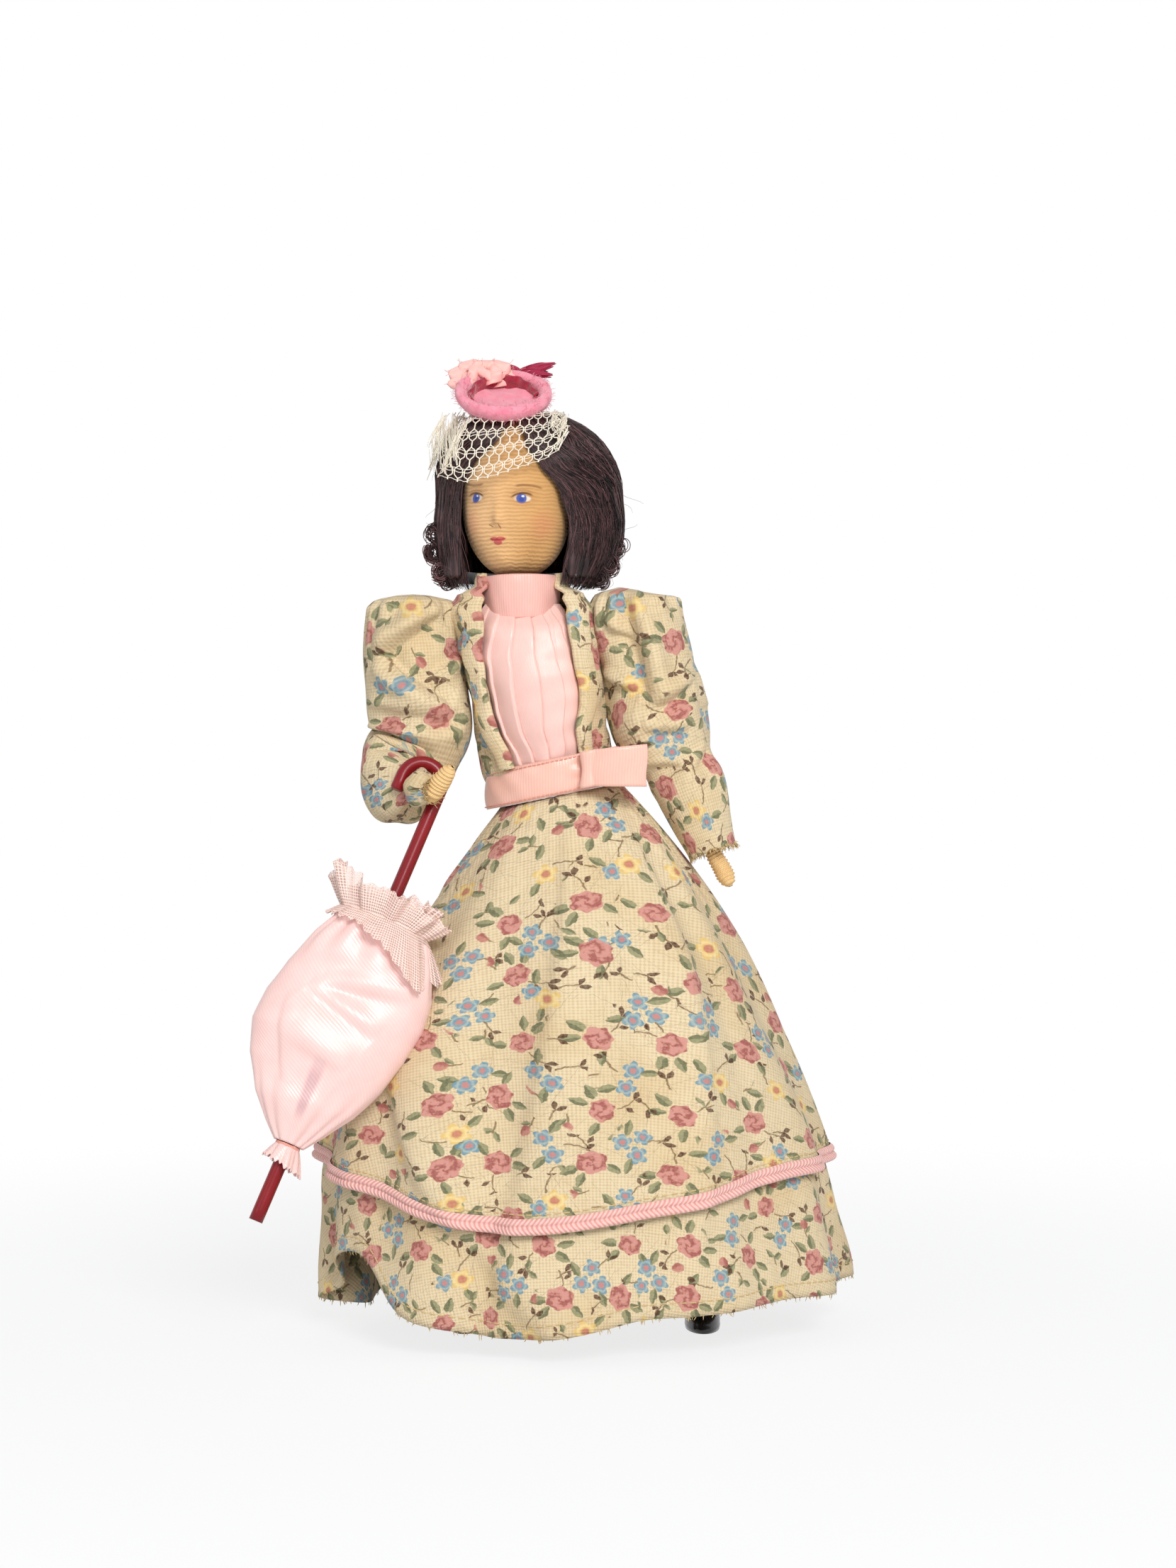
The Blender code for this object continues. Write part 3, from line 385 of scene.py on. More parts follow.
def thread_weave(finish, u, v, pitch):
    """Height of a plain weave with uneven threads, about 0 to 1."""
    slub = finish.noise(finish.join(u * 0.25, v * 2.2), 1.4, 3.0) - 0.5
    slub_up = finish.noise(finish.join(u * 2.2, v * 0.25), 1.4, 3.0) - 0.5
    over = (u * (2 * pi / pitch) + slub).cos() + (v * (2 * pi / pitch) + slub_up).cos()
    return over * 0.18 + (slub + slub_up) * 0.7 + 0.5


def rotated(x, y, turn):
    c, s = turn.cos(), turn.sin()
    return x * c - y * s, x * s + y * c


def radius_of(x, y):
    return (x * x + y * y).root()


def leaf_at(x, y, middle, turn, length, width):
    """1 inside a pointed leaf, and 1 on its darker half."""
    x, y = x - middle[0], y - middle[1]
    along, across = x * cos(turn) + y * sin(turn), y * cos(turn) - x * sin(turn)
    taper = 1.0 - (along * along) * (1.0 / (length * length))
    inside = (across.abs() - taper.largest(0.0) * width).below(0.0, 0.06)
    return inside, inside * across.above(0.05, 0.05)


def flower_at(x, y, middle, turn, size):
    """1 inside a five-petal flower, and the distance from its middle over its size."""
    x, y = x - middle[0], y - middle[1]
    r = radius_of(x, y) * (1.0 / size)
    lobe = (y.angle(x) * 2.5 + turn).cos().abs()
    return (r - (lobe * PETAL_NOTCH + (1.0 - PETAL_NOTCH))).below(0.0, 0.06), r


def stem_in(x, y, start, stop, bend):
    """1 on a thin stem that runs down from start to stop and bends aside."""
    drop = y - start
    line = (x - drop * drop * bend).abs().below(0.12, 0.06)
    return line * y.below(start, 0.05) * y.above(stop, 0.05)


def all_of(parts):
    whole = parts[0]
    for part in parts[1:]:
        whole = whole.largest(part)
    return whole


def cotton_print():
    """Cream cotton printed with small roses, blue and yellow flowers, leaves and stems."""
    finish = Finish("printed_cotton")
    u, v = finish.uv()
    place = finish.join(u, v)
    # the cloth is darker in large soft patches
    soft_dark_patches = finish.noise(place, 0.055, 3.0).above(0.56, 0.14)
    weave = thread_weave(finish, u, v, WEAVE_PITCH)
    colour = finish.mix(soft_dark_patches * 0.5, "#E0CEAA", "#D3B686")
    # painted shade: the cloth is darker in the low places between the woven threads
    colour = finish.mix(weave.below(0.42, 0.3) * 0.4, colour, "#B08E66")

    shake = finish.noise(place, 1.3, 2.0) - 0.5
    shake_up = finish.noise(finish.join(u + 31.0, v + 47.0), 1.3, 2.0) - 0.5
    x0, y0 = u + shake * 0.6, v + shake_up * 0.6

    x, y, luck = finish.cells(finish.join(x0, y0), ROSE_CELL, 0.5)
    x, y = rotated(x, y, luck[0] * (2 * pi))
    r = radius_of(x, y * 1.16)
    theta = y.angle(x)
    size = luck[1] * 0.55 + 1.65
    rose = (r - ((theta * 6.0 + luck[2] * 6.0).cos() * 0.08 + 1.0) * size).below(0.0, 0.09)
    swirl = (theta * 2.0 - r * 3.1 + shake * 9.0 + luck[2] * 6.0).sin()
    leaves = [leaf_at(x, y, (2.95, 0.9), 0.35, 1.5, 0.7),
              leaf_at(x, y, (1.8, 2.6), 1.1, 1.35, 0.62),
              leaf_at(x, y, (-2.75, 1.35), 2.5, 1.3, 0.6)]
    stems = [stem_in(x, y, -1.5, -4.5, 0.16)]
    darks = [leaf_at(x, y, (1.95, -4.75), -0.6, 0.75, 0.36)[0],
             leaf_at(x, y, (1.15, -5.1), -1.6, 0.75, 0.36)[0],
             leaf_at(x, y, (-0.3, -3.6), 0.9, 0.66, 0.32)[0]]
    by_rose = r.below(3.5, 0.2)

    p, q, luck = finish.cells(finish.join(x0 + ROSE_CELL / 2, y0 + ROSE_CELL / 2), ROSE_CELL, 0.4)
    p, q = rotated(p, q, luck[0] * (2 * pi))
    off_rose = 1.0 - r.below(2.2, 0.1)
    yellow = luck[1].above(0.58, 0.01)
    blue = 1.0 - yellow
    blue_a, ring_a = flower_at(p, q, (-1.45, 0.3), 0.4, 1.5)
    blue_b, ring_b = flower_at(p, q, (1.35, 1.1), 1.3, 1.42)
    blue_c, ring_c = flower_at(p, q, (0.75, -1.75), 2.1, 1.35)
    lone, ring_lone = flower_at(p, q, (-0.9, 0.1), 0.9, 1.75)
    third = luck[2].above(0.35, 0.01)
    blues = all_of([blue_a * blue, blue_b * (blue + yellow * third), blue_c * blue * third])
    hearts = all_of([ring_a.below(0.3, 0.08) * blue, ring_c.below(0.3, 0.08) * blue * third,
                     ring_b.below(0.3, 0.08) * (blue + yellow * third)])
    pale_ring = all_of([(ring - 0.62).abs().below(0.1, 0.1) for ring in (ring_a, ring_b, ring_c)])
    by_flower = radius_of(p, q).below(3.3, 0.2)
    leaves += [leaf_at(p, q, (2.95, -0.75), -0.7, 1.35, 0.6),
               leaf_at(p, q, (-2.4, 2.25), 2.3, 1.35, 0.58)]
    stems.append(stem_in(p, q, -1.2, -4.3, -0.14))
    darks += [leaf_at(p, q, (-1.75, -4.45), 0.9, 0.72, 0.35)[0],
              leaf_at(p, q, (-0.75, -4.6), 2.0, 0.66, 0.33)[0]]

    m, n, luck = finish.cells(finish.join(x0 + 2.2, y0 + 4.1), ROSE_CELL / 2, 0.7)
    m, n = rotated(m, n, luck[0] * (2 * pi))
    clear = (1.0 - by_rose) * (1.0 - by_flower)
    fork = clear * luck[1].below(0.42, 0.01)
    pair = clear * luck[1].above(0.42, 0.01) * luck[1].below(0.74, 0.01)
    bud = clear * luck[1].above(0.74, 0.01)
    darks += [leaf_at(m, n, (0.45, 0.75), 1.1, 0.76, 0.35)[0] * fork,
              leaf_at(m, n, (-0.5, 0.65), 2.1, 0.74, 0.34)[0] * fork]
    stems.append(stem_in(m, n, 0.3, -1.7, 0.12) * (fork + pair + bud))
    leaves += [tuple(part * pair for part in leaf_at(m, n, (0.85, 0.2), 0.5, 1.0, 0.48)),
               tuple(part * pair for part in leaf_at(m, n, (-0.8, 0.55), 2.4, 0.95, 0.45)),
               tuple(part * bud for part in leaf_at(m, n, (0.75, -0.1), 0.9, 0.8, 0.36))]
    bud_red = (radius_of(m, (n - 0.8) * 0.8) - 0.72).below(0.0, 0.08) * bud

    far = 1.0 - rose
    inks = [
        (all_of(stems) * off_rose * 0.95, "#7A6242"),
        (all_of([leaf[0] for leaf in leaves]) * off_rose, "#8B8C68"),
        (all_of([leaf[1] for leaf in leaves]) * off_rose * 0.8, "#62654A"),
        (all_of(darks) * off_rose, "#553628"),
        (bud_red * off_rose, "#BE7A70"),
        (bud_red * off_rose * m.above(0.1, 0.2), "#A05F57"),
        (blues * far, "#628FA3"),
        (blues * far * pale_ring * 0.45, "#CFD2BF"),
        (lone * yellow * far, "#DDBB72"),
        (lone * yellow * far * (ring_lone - 0.6).abs().below(0.12, 0.12) * 0.7, "#EED9A2"),
        (hearts * far, "#C98279"),
        (ring_lone.below(0.34, 0.08) * yellow * far, "#C07A69"),
        (rose, "#B9726B"),
        (rose * swirl.above(0.25, 0.45), "#CF9488"),
        (rose * swirl.below(-0.62, 0.22) * 0.85, "#985550"),
    ]
    fade = (finish.noise(place, 1.7, 2.0) * 0.5 + 0.65) * (weave * 0.3 + 0.8)
    for share, ink in inks:
        colour = finish.mix(share * fade, colour, ink)
    finish.surface(colour, 0.88, 0.18, 0.12)
    return finish.bump(weave, 0.1, 0.8)


def satin(name, light, dark, pitch, gloss):
    """Smooth ribbon or lining cloth: fine ribs across and a soft shine."""
    finish = Finish(name)
    u, v = finish.uv()
    ribs = (u * (2 * pi / pitch)).sin() * 0.5 + 0.5
    blotch = finish.noise(finish.join(u * 0.6, v * 0.6), 0.5, 3.0)
    fine = finish.noise(finish.join(u * 6.0, v * 0.5), 1.0, 2.0)
    colour = finish.mix(blotch * 0.5 + fine * 0.3 + ribs * 0.3, light, dark)
    finish.surface(colour, gloss + (fine - 0.5) * 0.12, 0.42, 0.25)
    finish.set("Anisotropic", 0.45).set("Sheen Roughness", 0.4)
    return finish.bump(ribs * 0.6 + fine * 0.8, 0.035, 0.7)


def fuzzy(name, light, dark, size, depth):
    """Felt, wool or other cloth with a hairy face."""
    finish = Finish(name)
    place = finish.place()
    coarse = finish.noise(place, 1000 / size, 4.0, 0.62)
    fine = finish.noise(place, 6500.0, 3.0, 0.6)
    finish.surface(finish.mix(coarse.above(0.5, 0.22), dark, light), 0.95, 0.1, 0.5)
    finish.set("Sheen Roughness", 0.55)
    return finish.bump(coarse * 0.6 + fine * 0.6, depth, 0.9)


def thread(name, light, dark, rough=0.7):
    """Sewing or net thread: fine twist along it."""
    finish = Finish(name)
    u, v = finish.uv()
    twist = (u * 26.0 + v * (2 * pi)).sin() * 0.5 + 0.5
    spot = finish.noise(finish.place(), 900.0, 2.0)
    # painted shade: the thread is darker in the grooves of its twist
    finish.surface(finish.mix(twist * 0.5 + spot * 0.5, dark, light), rough, 0.25)
    return finish.bump(twist, 0.03, 0.5)


def braid_finish():
    """Twisted cord: slanting strands, with painted shade darker between them."""
    finish = Finish("pink_braid")
    u, v = finish.uv()
    strand = (u * (2 * pi / 0.7)).sin() * 0.5 + 0.5
    spot = finish.noise(finish.join(u, v), 1.5, 2.0)
    colour = finish.mix(strand.above(0.3, 0.3) * 0.7 + spot * 0.3, "#DE938A", "#FBCFC6")
    finish.surface(colour, 0.6, 0.3, 0.2)
    return finish.bump(strand, 0.14, 0.9)


COTTON = cotton_print()
BRAID = braid_finish()
SEWING = thread("sewing_thread", "#E9D3A4", "#B79458")

# Skirts

WAIST_X = -2.6
WAIST_TILT = radians(11.6)
WAIST_RISE = tan(WAIST_TILT)
WAIST_R = 9.3
SKIRT_FLARE = 31.7           # how much wider the skirt is at its hem than at the waist
SKIRT_TOP_Z = 81.0
SKIRT_HEM_Z = 6.5
UNDER_EDGE_Z = 19.0          # below this the underskirt comes out from under the upper one
CLOTH_IN = 0.45              # middle of the cloth, measured in from the CAD's outside
FOLD_COUNT = 11              # even folds round the hem, as in the CAD


def tilted(points):
    """Raise points as the tilted waist line does, fading out above and below."""
    points = np.array(points, float)
    z = points[..., 2]
    fade = np.clip(np.minimum((z - 45.0) / 36.0, (100.0 - z) / 13.0), 0, 1)
    points[..., 2] = z + WAIST_RISE * (points[..., 0] - WAIST_X) * fade
    return points


# Each fold: turn at the hem, change of turn with height, steep side's width (its sign is the side
# it faces: + for the viewer's left), gentle side's width, height
SKIRT_FOLDS = [(-0.2, 0.005, 0.055, 0.24, 1.8), (-0.42, -0.0215, 0.07, 0.25, 1.9),
               (-0.95, -0.006, 0.08, 0.2, 0.9), (0.16, 0.003, -0.09, 0.16, 0.7),
               (0.46, 0.006, -0.06, 0.22, 1.3), (0.86, 0.004, 0.08, 0.2, 1.0),
               (1.9, 0.004, 0.09, 0.25, 1.0), (2.6, -0.003, -0.08, 0.25, 1.0),
               (-1.9, -0.004, 0.09, 0.25, 1.0), (-2.6, 0.003, -0.08, 0.25, 1.0)]


def skirt_surface(turn, z, inset):
    """Points of the bell-shaped skirt; turn 0 is straight ahead and rises towards +X."""
    share = np.clip((z - SKIRT_HEM_Z) / (SKIRT_TOP_Z - SKIRT_HEM_Z), -0.1, 1)
    full = WAIST_R + SKIRT_FLARE * (1 - np.sign(share) * np.abs(share) ** 1.9)
    depth = 0.73 + 0.07 * share
    fold = 1 + 0.030 * (1 - share) * np.cos(FOLD_COUNT * turn)
    slack = np.clip((1 - share) * 3.0, 0, 1)
    soft = 0.6 * waves_round(turn, z * 0.6, 30.0, 26.0, 5) * slack
    soft = soft + 0.35 * np.cos(FOLD_COUNT * turn + 1.1 * np.sin(3 * turn + z * 0.06)) * slack
    for middle, lean, steep, gentle, tall in SKIRT_FOLDS:
        off = turn - middle - lean * (z - 20.0)
        width = np.where(off * np.sign(steep) < 0, abs(steep), gentle)
        soft = soft + slack * tall * np.exp(-(off / width) ** 2)
    plain_front = 0.15 + 0.85 * ease((np.abs(turn) - 0.9) / 0.7)
    gather = 0.28 * np.cos(44 * turn + 2.0 * np.sin(5 * turn)) * ease((share - 0.62) / 0.3) * plain_front
    out = soft + gather - inset
    x = WAIST_X * share + (full * fold + out) * np.sin(turn)
    y = -(full * depth * fold + out) * np.cos(turn)
    return together(x, y, z)


FAN_SHARE = 0.43             # the part of a whole ring that the skirt's cloth takes when laid flat
FAN_START = 21.6             # the ring's inner radius
FAN_SLOPE = 1.135            # length of cloth for each millimetre of height


def fan_uv(turn, z):
    """The skirt's cloth laid out flat as part of a ring, in millimetres."""
    fine = np.linspace(-pi, pi, 721)
    speed = np.sqrt(np.cos(fine) ** 2 + 0.56 * np.sin(fine) ** 2)
    arc = np.concatenate([[0], np.cumsum((speed[1:] + speed[:-1]) / 2 * np.diff(fine))])
    swing = FAN_SHARE * (np.interp(turn, fine, arc) - arc[len(arc) // 2])
    reach = FAN_START + (SKIRT_TOP_Z - z) * FAN_SLOPE
    return together(reach * np.sin(swing), -reach * np.cos(swing))


def area_of(points):
    """Area of a sheet of points in square metres."""
    a, b = points[1:, :-1] - points[:-1, :-1], points[:-1, 1:] - points[:-1, :-1]
    c, d = points[1:, :-1] - points[1:, 1:], points[:-1, 1:] - points[1:, 1:]
    return float((np.linalg.norm(np.cross(a, b), axis=-1).sum()
                  + np.linalg.norm(np.cross(c, d), axis=-1).sum()) / 2) * MM * MM


def declare_sheet(points):
    """Work out the area of a gathered sheet; nothing is done with it."""
    area_of(points)


def skirt_sheet(hem, top, inset, cols, rows):
    """Rows of skirt points from the hem up, as a sheet that meets itself at the back."""
    turn = np.linspace(-pi, pi, cols + 1)[None]
    share = np.linspace(0, 1, rows)[:, None]
    low = hem(turn)
    z = low + (top - low) * share
    turn = turn + 0 * z
    points = tilted(skirt_surface(turn, z, inset(z)))
    return points, fan_uv(turn, z), turn


def over_hem(turn):
    return 25.0 - 6.7 * np.exp(-((turn + 0.17) / 0.75) ** 2) + 0.2 * np.sin(7 * turn + 1.0)


def under_hem(turn):
    arch = 7.4 * np.exp(-((turn + 0.97) / np.where(turn < -0.97, 0.34, 0.2)) ** 2)
    tail = 4.2 * np.exp(-((turn + 2.05) / 0.45) ** 2)
    dip = 3.5 * np.exp(-((turn + 0.28) / 0.5) ** 2)
    back = 1.9 * ease((np.abs(turn) - 1.6) / 1.4)
    return 6.9 - dip + back + 0.2 * np.sin(9 * turn) + arch - tail


def under_inset(z):
    return CLOTH_IN + 1.5 * (1 - ease((UNDER_EDGE_Z - z) / 12.0))


def over_inset(z):
    return CLOTH_IN + 0 * z


points, uv, turn = skirt_sheet(over_hem, SKIRT_TOP_Z, over_inset, 264, 64)
overskirt = grid("overskirt_cloth", points, uv, COTTON, True, 0.36)
finish_piece(overskirt, "torso", "printed_cotton", "overskirt")
OVERSKIRT_AREA = area_of(points)


def drawn_in(points, turn):
    """Move underskirt points as its hem is crumpled at the viewer's left."""
    points = np.array(points, float)
    z = points[..., 2]
    curl = np.exp(-((turn + 0.75) / 0.16) ** 2) * ease((16.0 - z) / 8.0)
    from_behind = np.exp(-((turn + 2.1) / 0.48) ** 2) * ease((20.0 - z) / 15.0)
    points[..., 0] += 4.0 * np.exp(-((turn + 1.6) / 0.6) ** 2) * ease((25.0 - z) / 20.0)
    points[..., 1] -= 1.1 * curl + 12.0 * from_behind
    return points


points, uv, turn = skirt_sheet(under_hem, SKIRT_TOP_Z - 1.0, under_inset, 264, 70)
points = drawn_in(points, turn)
UNDER_HEM_POINTS = points[0]
underskirt = grid("underskirt_cloth", points, uv + [37.0, 11.0], COTTON, True, 0.36)
finish_piece(underskirt, "torso", "printed_cotton", "underskirt")
UNDERSKIRT_AREA = area_of(points)


BRAID_LOW, BRAID_WIDTH = 0.1, 2.3


def hem_band():
    """A narrow braid with two rounded ridges, sewn round the upper hem and lapped in front."""
    turn = np.linspace(-pi, pi, 521)[None]
    across = np.linspace(0, 1, 13)[:, None]
    z = over_hem(turn) + BRAID_LOW + BRAID_WIDTH * across
    proud = 0.22 + 0.42 * np.abs(np.sin(2 * pi * across)) ** 0.7
    lapped = ease((turn + 0.285) / 0.012) * (1 - ease((turn + 0.26) / 0.12))
    proud = proud + 0.35 * lapped
    points = skirt_surface(turn + 0 * z, z, CLOTH_IN - 0.18 - proud)
    slant = np.where(across < 0.5, 1.0, -1.0) * (across - 0.5) * 1.6
    uv = together(run(points[6])[None] + slant, across * BRAID_WIDTH)
    return grid("hem_braid", points, uv, BRAID, True)


braid = hem_band()
finish_piece(braid, "torso", "pink_braid", "overskirt_braid")


HEM_STITCHES = 190


def stitch_turns(count, share):
    """Five places on each of the stitches round a ring; share is how much of its step one covers."""
    start = np.linspace(-pi, pi, count, endpoint=False)[:, None]
    return start + np.linspace(0, share, 5)[None] * 2 * pi / count


def stitch_arch(tall):
    """How high a stitch stands at its five places."""
    return tall * np.sin(np.linspace(0, pi, 5))[None]


def stitch_line(name, hem_line, above, inset, moved=None):
    """A row of small stitches that follows a hem."""
    turn = stitch_turns(HEM_STITCHES, 0.65)
    z = hem_line(turn) + above
    arch = stitch_arch(0.06) - 0.02
    points = skirt_surface(turn, z, inset(z) - 0.18 - arch)
    piece = tubes(name, moved(points, turn) if moved else points, 0.1, SEWING, 5)
    return finish_piece(piece, "torso", "printed_cotton")


stitches = stitch_line("underskirt_stitches", under_hem, 2.1, under_inset, drawn_in)
over_stitches = stitch_line("overskirt_stitches", over_hem, 2.9, over_inset)


def fray(name, edge, outward, count, seed, length):
    """Loose thread ends along an edge; edge and outward are rows of points."""
    rng = np.random.default_rng(seed)
    at = rng.uniform(0, len(edge) - 1.001, count)
    i, part = at.astype(int), (at % 1)[:, None]
    start = edge[i] * (1 - part) + edge[i + 1] * part
    away = unit(outward[i] + rng.normal(0, 0.28, (count, 3)))
    bend = rng.normal(0, 0.35, (count, 3))
    t = np.linspace(-0.25, 1, 5)[None, :, None]
    size = (length * rng.uniform(0.35, 1.0, count))[:, None, None]
    paths = start[:, None] + size * (away[:, None] * t + bend[:, None] * t * t * 0.5)
    return tubes(name, paths, [[0.07, 0.07, 0.06, 0.05, 0.02]], SEWING, 4)


down = np.tile([0.0, 0.0, -1.0], (len(UNDER_HEM_POINTS), 1))
hem_fray = fray("hem_fray", UNDER_HEM_POINTS, down, 260, 3, 0.8)
finish_piece(hem_fray, "torso", "printed_cotton")


# Trunk: blouse, jacket, belt with its bow, and neck band

BLOUSE = satin("blouse_satin", "#F8D4CB", "#EFBAAF", 0.2, 0.34)
BELT = satin("peach_ribbon", "#F6CABA", "#EBB09E", 0.44, 0.33)
NECKBAND = satin("pink_satin", "#F4C5BA", "#E4A69A", 0.4, 0.3)
STITCH_PINK = thread("pink_thread", "#F6B6A6", "#DB8E7F")

COLLAR_Z = 114.8
NECK_BASE_Z = 108.6
BELT_Z = (81.2, 86.8)
BELT_HALF_WIDTH, BELT_HALF_DEPTH = 9.25, 7.4
BELT_STITCHES = 90
BLOUSE_LOW_Z, BLOUSE_TALL = 81.8, 28.4
PLEATS = 5.3                 # pleats across the blouse
PLEAT_MIDDLE = 0.47          # where they draw together, as a share of the way across
JACKET_LOW_Z = 81.7
LAPEL_LOW_Z = 86.6
# Half widths and depths of the trunk by height, and the angles of the jacket's front edges in degrees
HALF_WIDTHS = [(81.0, 8.9), (90.0, 9.5), (95.0, 10.3), (99.0, 11.0), (104.3, 11.6), (109.0, 12.4),
               (111.4, 10.4), (112.9, 7.0), (114.8, 6.1)]
HALF_DEPTHS = [(81.0, 7.0), (99.0, 8.4), (104.3, 7.9), (109.0, 6.9), (111.4, 6.4), (114.8, 5.9)]
EDGE_RIGHT = [(81.0, -36), (88.0, -39), (92.0, -46), (96.0, -48), (101.0, -44), (108.3, -31),
              (110.8, -35), (112.9, -50), (114.8, -70)]
EDGE_LEFT = [(81.0, 26), (89.7, 31), (96.6, 41), (103.0, 39), (108.3, 38), (110.8, 42),
             (112.9, 56), (114.8, 72)]


def trunk_x(z):
    """Middle of the trunk, which leans from the waist to the neck."""
    return WAIST_X + (NECK_X - WAIST_X) * np.minimum((z - SKIRT_TOP_Z) / (NECK_BASE_Z - SKIRT_TOP_Z), 1.0)


def right_slack(angle, z):
    """How far the jacket and belt stand out above the waist at the doll's right."""
    return 1.7 * np.clip(-np.sin(angle), 0, 1) ** 2 * ease((99.0 - z) / 11.0)


def trunk_point(angle, z, proud):
    """Points about the trunk, some way out from the jacket's CAD outside."""
    wide = through(HALF_WIDTHS, z) + proud + right_slack(angle, z)
    deep = through(HALF_DEPTHS, z) + proud
    return tilted(together(trunk_x(z) + wide * np.sin(angle), -deep * np.cos(angle), z))


def edge_right(z):
    return np.radians(through(EDGE_RIGHT, z))


def edge_left(z):
    return np.radians(through(EDGE_LEFT, z))


def lengths(points):
    """Distance along the middle row and up the middle column of a sheet, as uv."""
    rows, cols = points.shape[:2]
    return np.stack(np.meshgrid(run(points[rows // 2]), run(points[:, cols // 2])), -1)


# Blouse

z = np.linspace(BLOUSE_LOW_Z, BLOUSE_LOW_Z + BLOUSE_TALL, 70)[:, None]
share = np.linspace(0, 1, 190)[None]
angle = edge_right(z) - radians(8) + (edge_left(z) - edge_right(z) + radians(16)) * share
rise = (z - BLOUSE_LOW_Z) / BLOUSE_TALL
fan = 0.55 + 0.45 * np.sin(pi * np.clip(0.1 + 0.8 * rise, 0, 1))
drift = PLEAT_MIDDLE + (share - PLEAT_MIDDLE) / fan + 0.03 * np.sin(2.2 * rise + 5 * share)
saw = (drift * PLEATS + 0.1) % 1.0
pleat = 0.68 * saw ** 0.8 * ease((1 - saw) / 0.09) * np.sin(pi * np.clip(share, 0.02, 0.98)) ** 0.4
at_neck = ease((rise - 0.86) / 0.14)
pleat = pleat * (1 - 0.7 * at_neck)
bosom = 1.7 * np.sin(pi * np.clip(rise, 0, 1)) ** 0.8 * np.sin(pi * share)
wrinkle = 0.1 * waves(share * 12, z, 5.0, 8)
points = trunk_point(angle, z, pleat + bosom + wrinkle - 1.9 - 1.6 * at_neck)
blouse = grid("blouse_cloth", points, lengths(points), BLOUSE, False, 0.25)
finish_piece(blouse, "torso", "blouse_satin", "blouse_front", "torso_pad", "hip_pad")
declare_sheet(points)

# Jacket

z = np.linspace(JACKET_LOW_Z, COLLAR_Z, 64)[:, None]
share = np.linspace(0, 1, 120)[None]
angle = edge_left(z) + (edge_right(z) + 2 * pi - edge_left(z)) * share
rumple = 0.22 * waves(angle * 9, z, 6.0, 12) + 0.12 * waves(angle * 9, z, 3.0, 13)
rumple = rumple * (0.4 + 0.6 * np.sin(pi * (z - JACKET_LOW_Z) / (COLLAR_Z - JACKET_LOW_Z)))
points = trunk_point(angle, z, rumple - CLOTH_IN - 0.1)
jacket = grid("jacket_cloth", points, lengths(points) + [9.0, 143.0], COTTON, False, 0.36)
finish_piece(jacket, "torso", "printed_cotton", "jacket_bodice")
declare_sheet(points)


def lapel(name, edge, way, node, seed):
    """The jacket's turned-back front edge: round the fold, then flat along the jacket."""
    z = np.linspace(LAPEL_LOW_Z, COLLAR_Z + 0.1, 80)[:, None]
    wide = 0.9 + 0.9 * ease((z - 84.0) / 16.0)
    part = np.linspace(0, 1, 22)[None]
    fold = np.clip(part / 0.35, 0, 1) * pi
    flat = np.clip((part - 0.35) / 0.65, 0, 1)
    out = 0.15 - 0.55 * np.cos(fold) + 0.5 * flat * (1 - flat)
    reach = -0.55 * np.sin(fold) + flat * wide
    out = out + 0.1 * waves(z, reach * 2, 7.0, seed)
    high = ease((z - 105.0) / 7.0)
    angle = edge(z) + way * (reach + 0.1) / 8.0
    points = trunk_point(angle, z, out - high * 0.2 * (1 - flat))
    uv = together(part * 5.0, z) + [40.0 * seed, 7.0]
    piece = grid(name, points, uv, COTTON, False, 0.3)
    finish_piece(piece, "torso", "printed_cotton", node)


lapel("lapel_roll_left", edge_left, 1.0, "lapel_left", 2)
lapel("lapel_roll_right", edge_right, -1.0, "lapel_right", 3)

# Belt


def belt_point(turn, z, proud):
    """Points about the belt's own oval, along its tilted line."""
    wide = BELT_HALF_WIDTH + proud + right_slack(turn, z)
    return tilted(together(trunk_x(81.4) + wide * np.sin(turn),
                           -(BELT_HALF_DEPTH + proud) * np.cos(turn), z))


z = np.linspace(*BELT_Z, 15)[:, None]
turn = np.linspace(-pi, pi, 181)[None]
bulge = 0.42 - 0.28 * np.abs((z - 84.0) / 2.8) ** 4
by_knot = np.exp(-((turn - 0.33) / 0.14) ** 2)
ruck = 0.1 * waves_round(turn, z, 9.0, 4.0, 21) + 0.16 * by_knot * np.sin(z * 3.0)
BELT_POINTS = belt_point(turn, z, bulge + ruck)
belt = grid("belt_ribbon", BELT_POINTS, lengths(BELT_POINTS), BELT, True, 0.3)
finish_piece(belt, "torso", "peach_ribbon", "waist_ribbon")
turn = stitch_turns(BELT_STITCHES, 0.7)
arch = 0.52 + stitch_arch(0.05)
edges = [belt_point(turn, height, arch) for height in (BELT_Z[0] + 0.35, BELT_Z[1] - 0.35)]
belt_stitches = tubes("belt_stitches", np.concatenate(edges), 0.09, STITCH_PINK, 4)
finish_piece(belt_stitches, "torso", "peach_ribbon")
declare_sheet(BELT_POINTS)

# Bow: one flat loop and its knot

part = np.linspace(0, 2 * pi, 97)[None]
up = np.linspace(-1, 1, 13)[:, None]
long = (1 - np.cos(part)) / 2
flare = 2.75 + 0.45 * long
x = 2.0 + 8.3 * long + 0.12 * np.sin(up * 3)
y = -9.35 - 1.15 * np.sin(part) * np.sin(pi * np.clip(long, 0, 1)) ** 0.5 - 0.35 * long + 0 * up
level = 84.15 + WAIST_RISE * (2.6 - WAIST_X) + 0.05 * (x - 2.6)
loop = together(x, y, level + up * flare)
uv = together(run(loop[6])[None], up * 2.8)
bow_loop = grid("bow_ribbon", loop, uv, BELT, False, 0.28)
finish_piece(bow_loop, "torso", "peach_ribbon", "bow_loop")

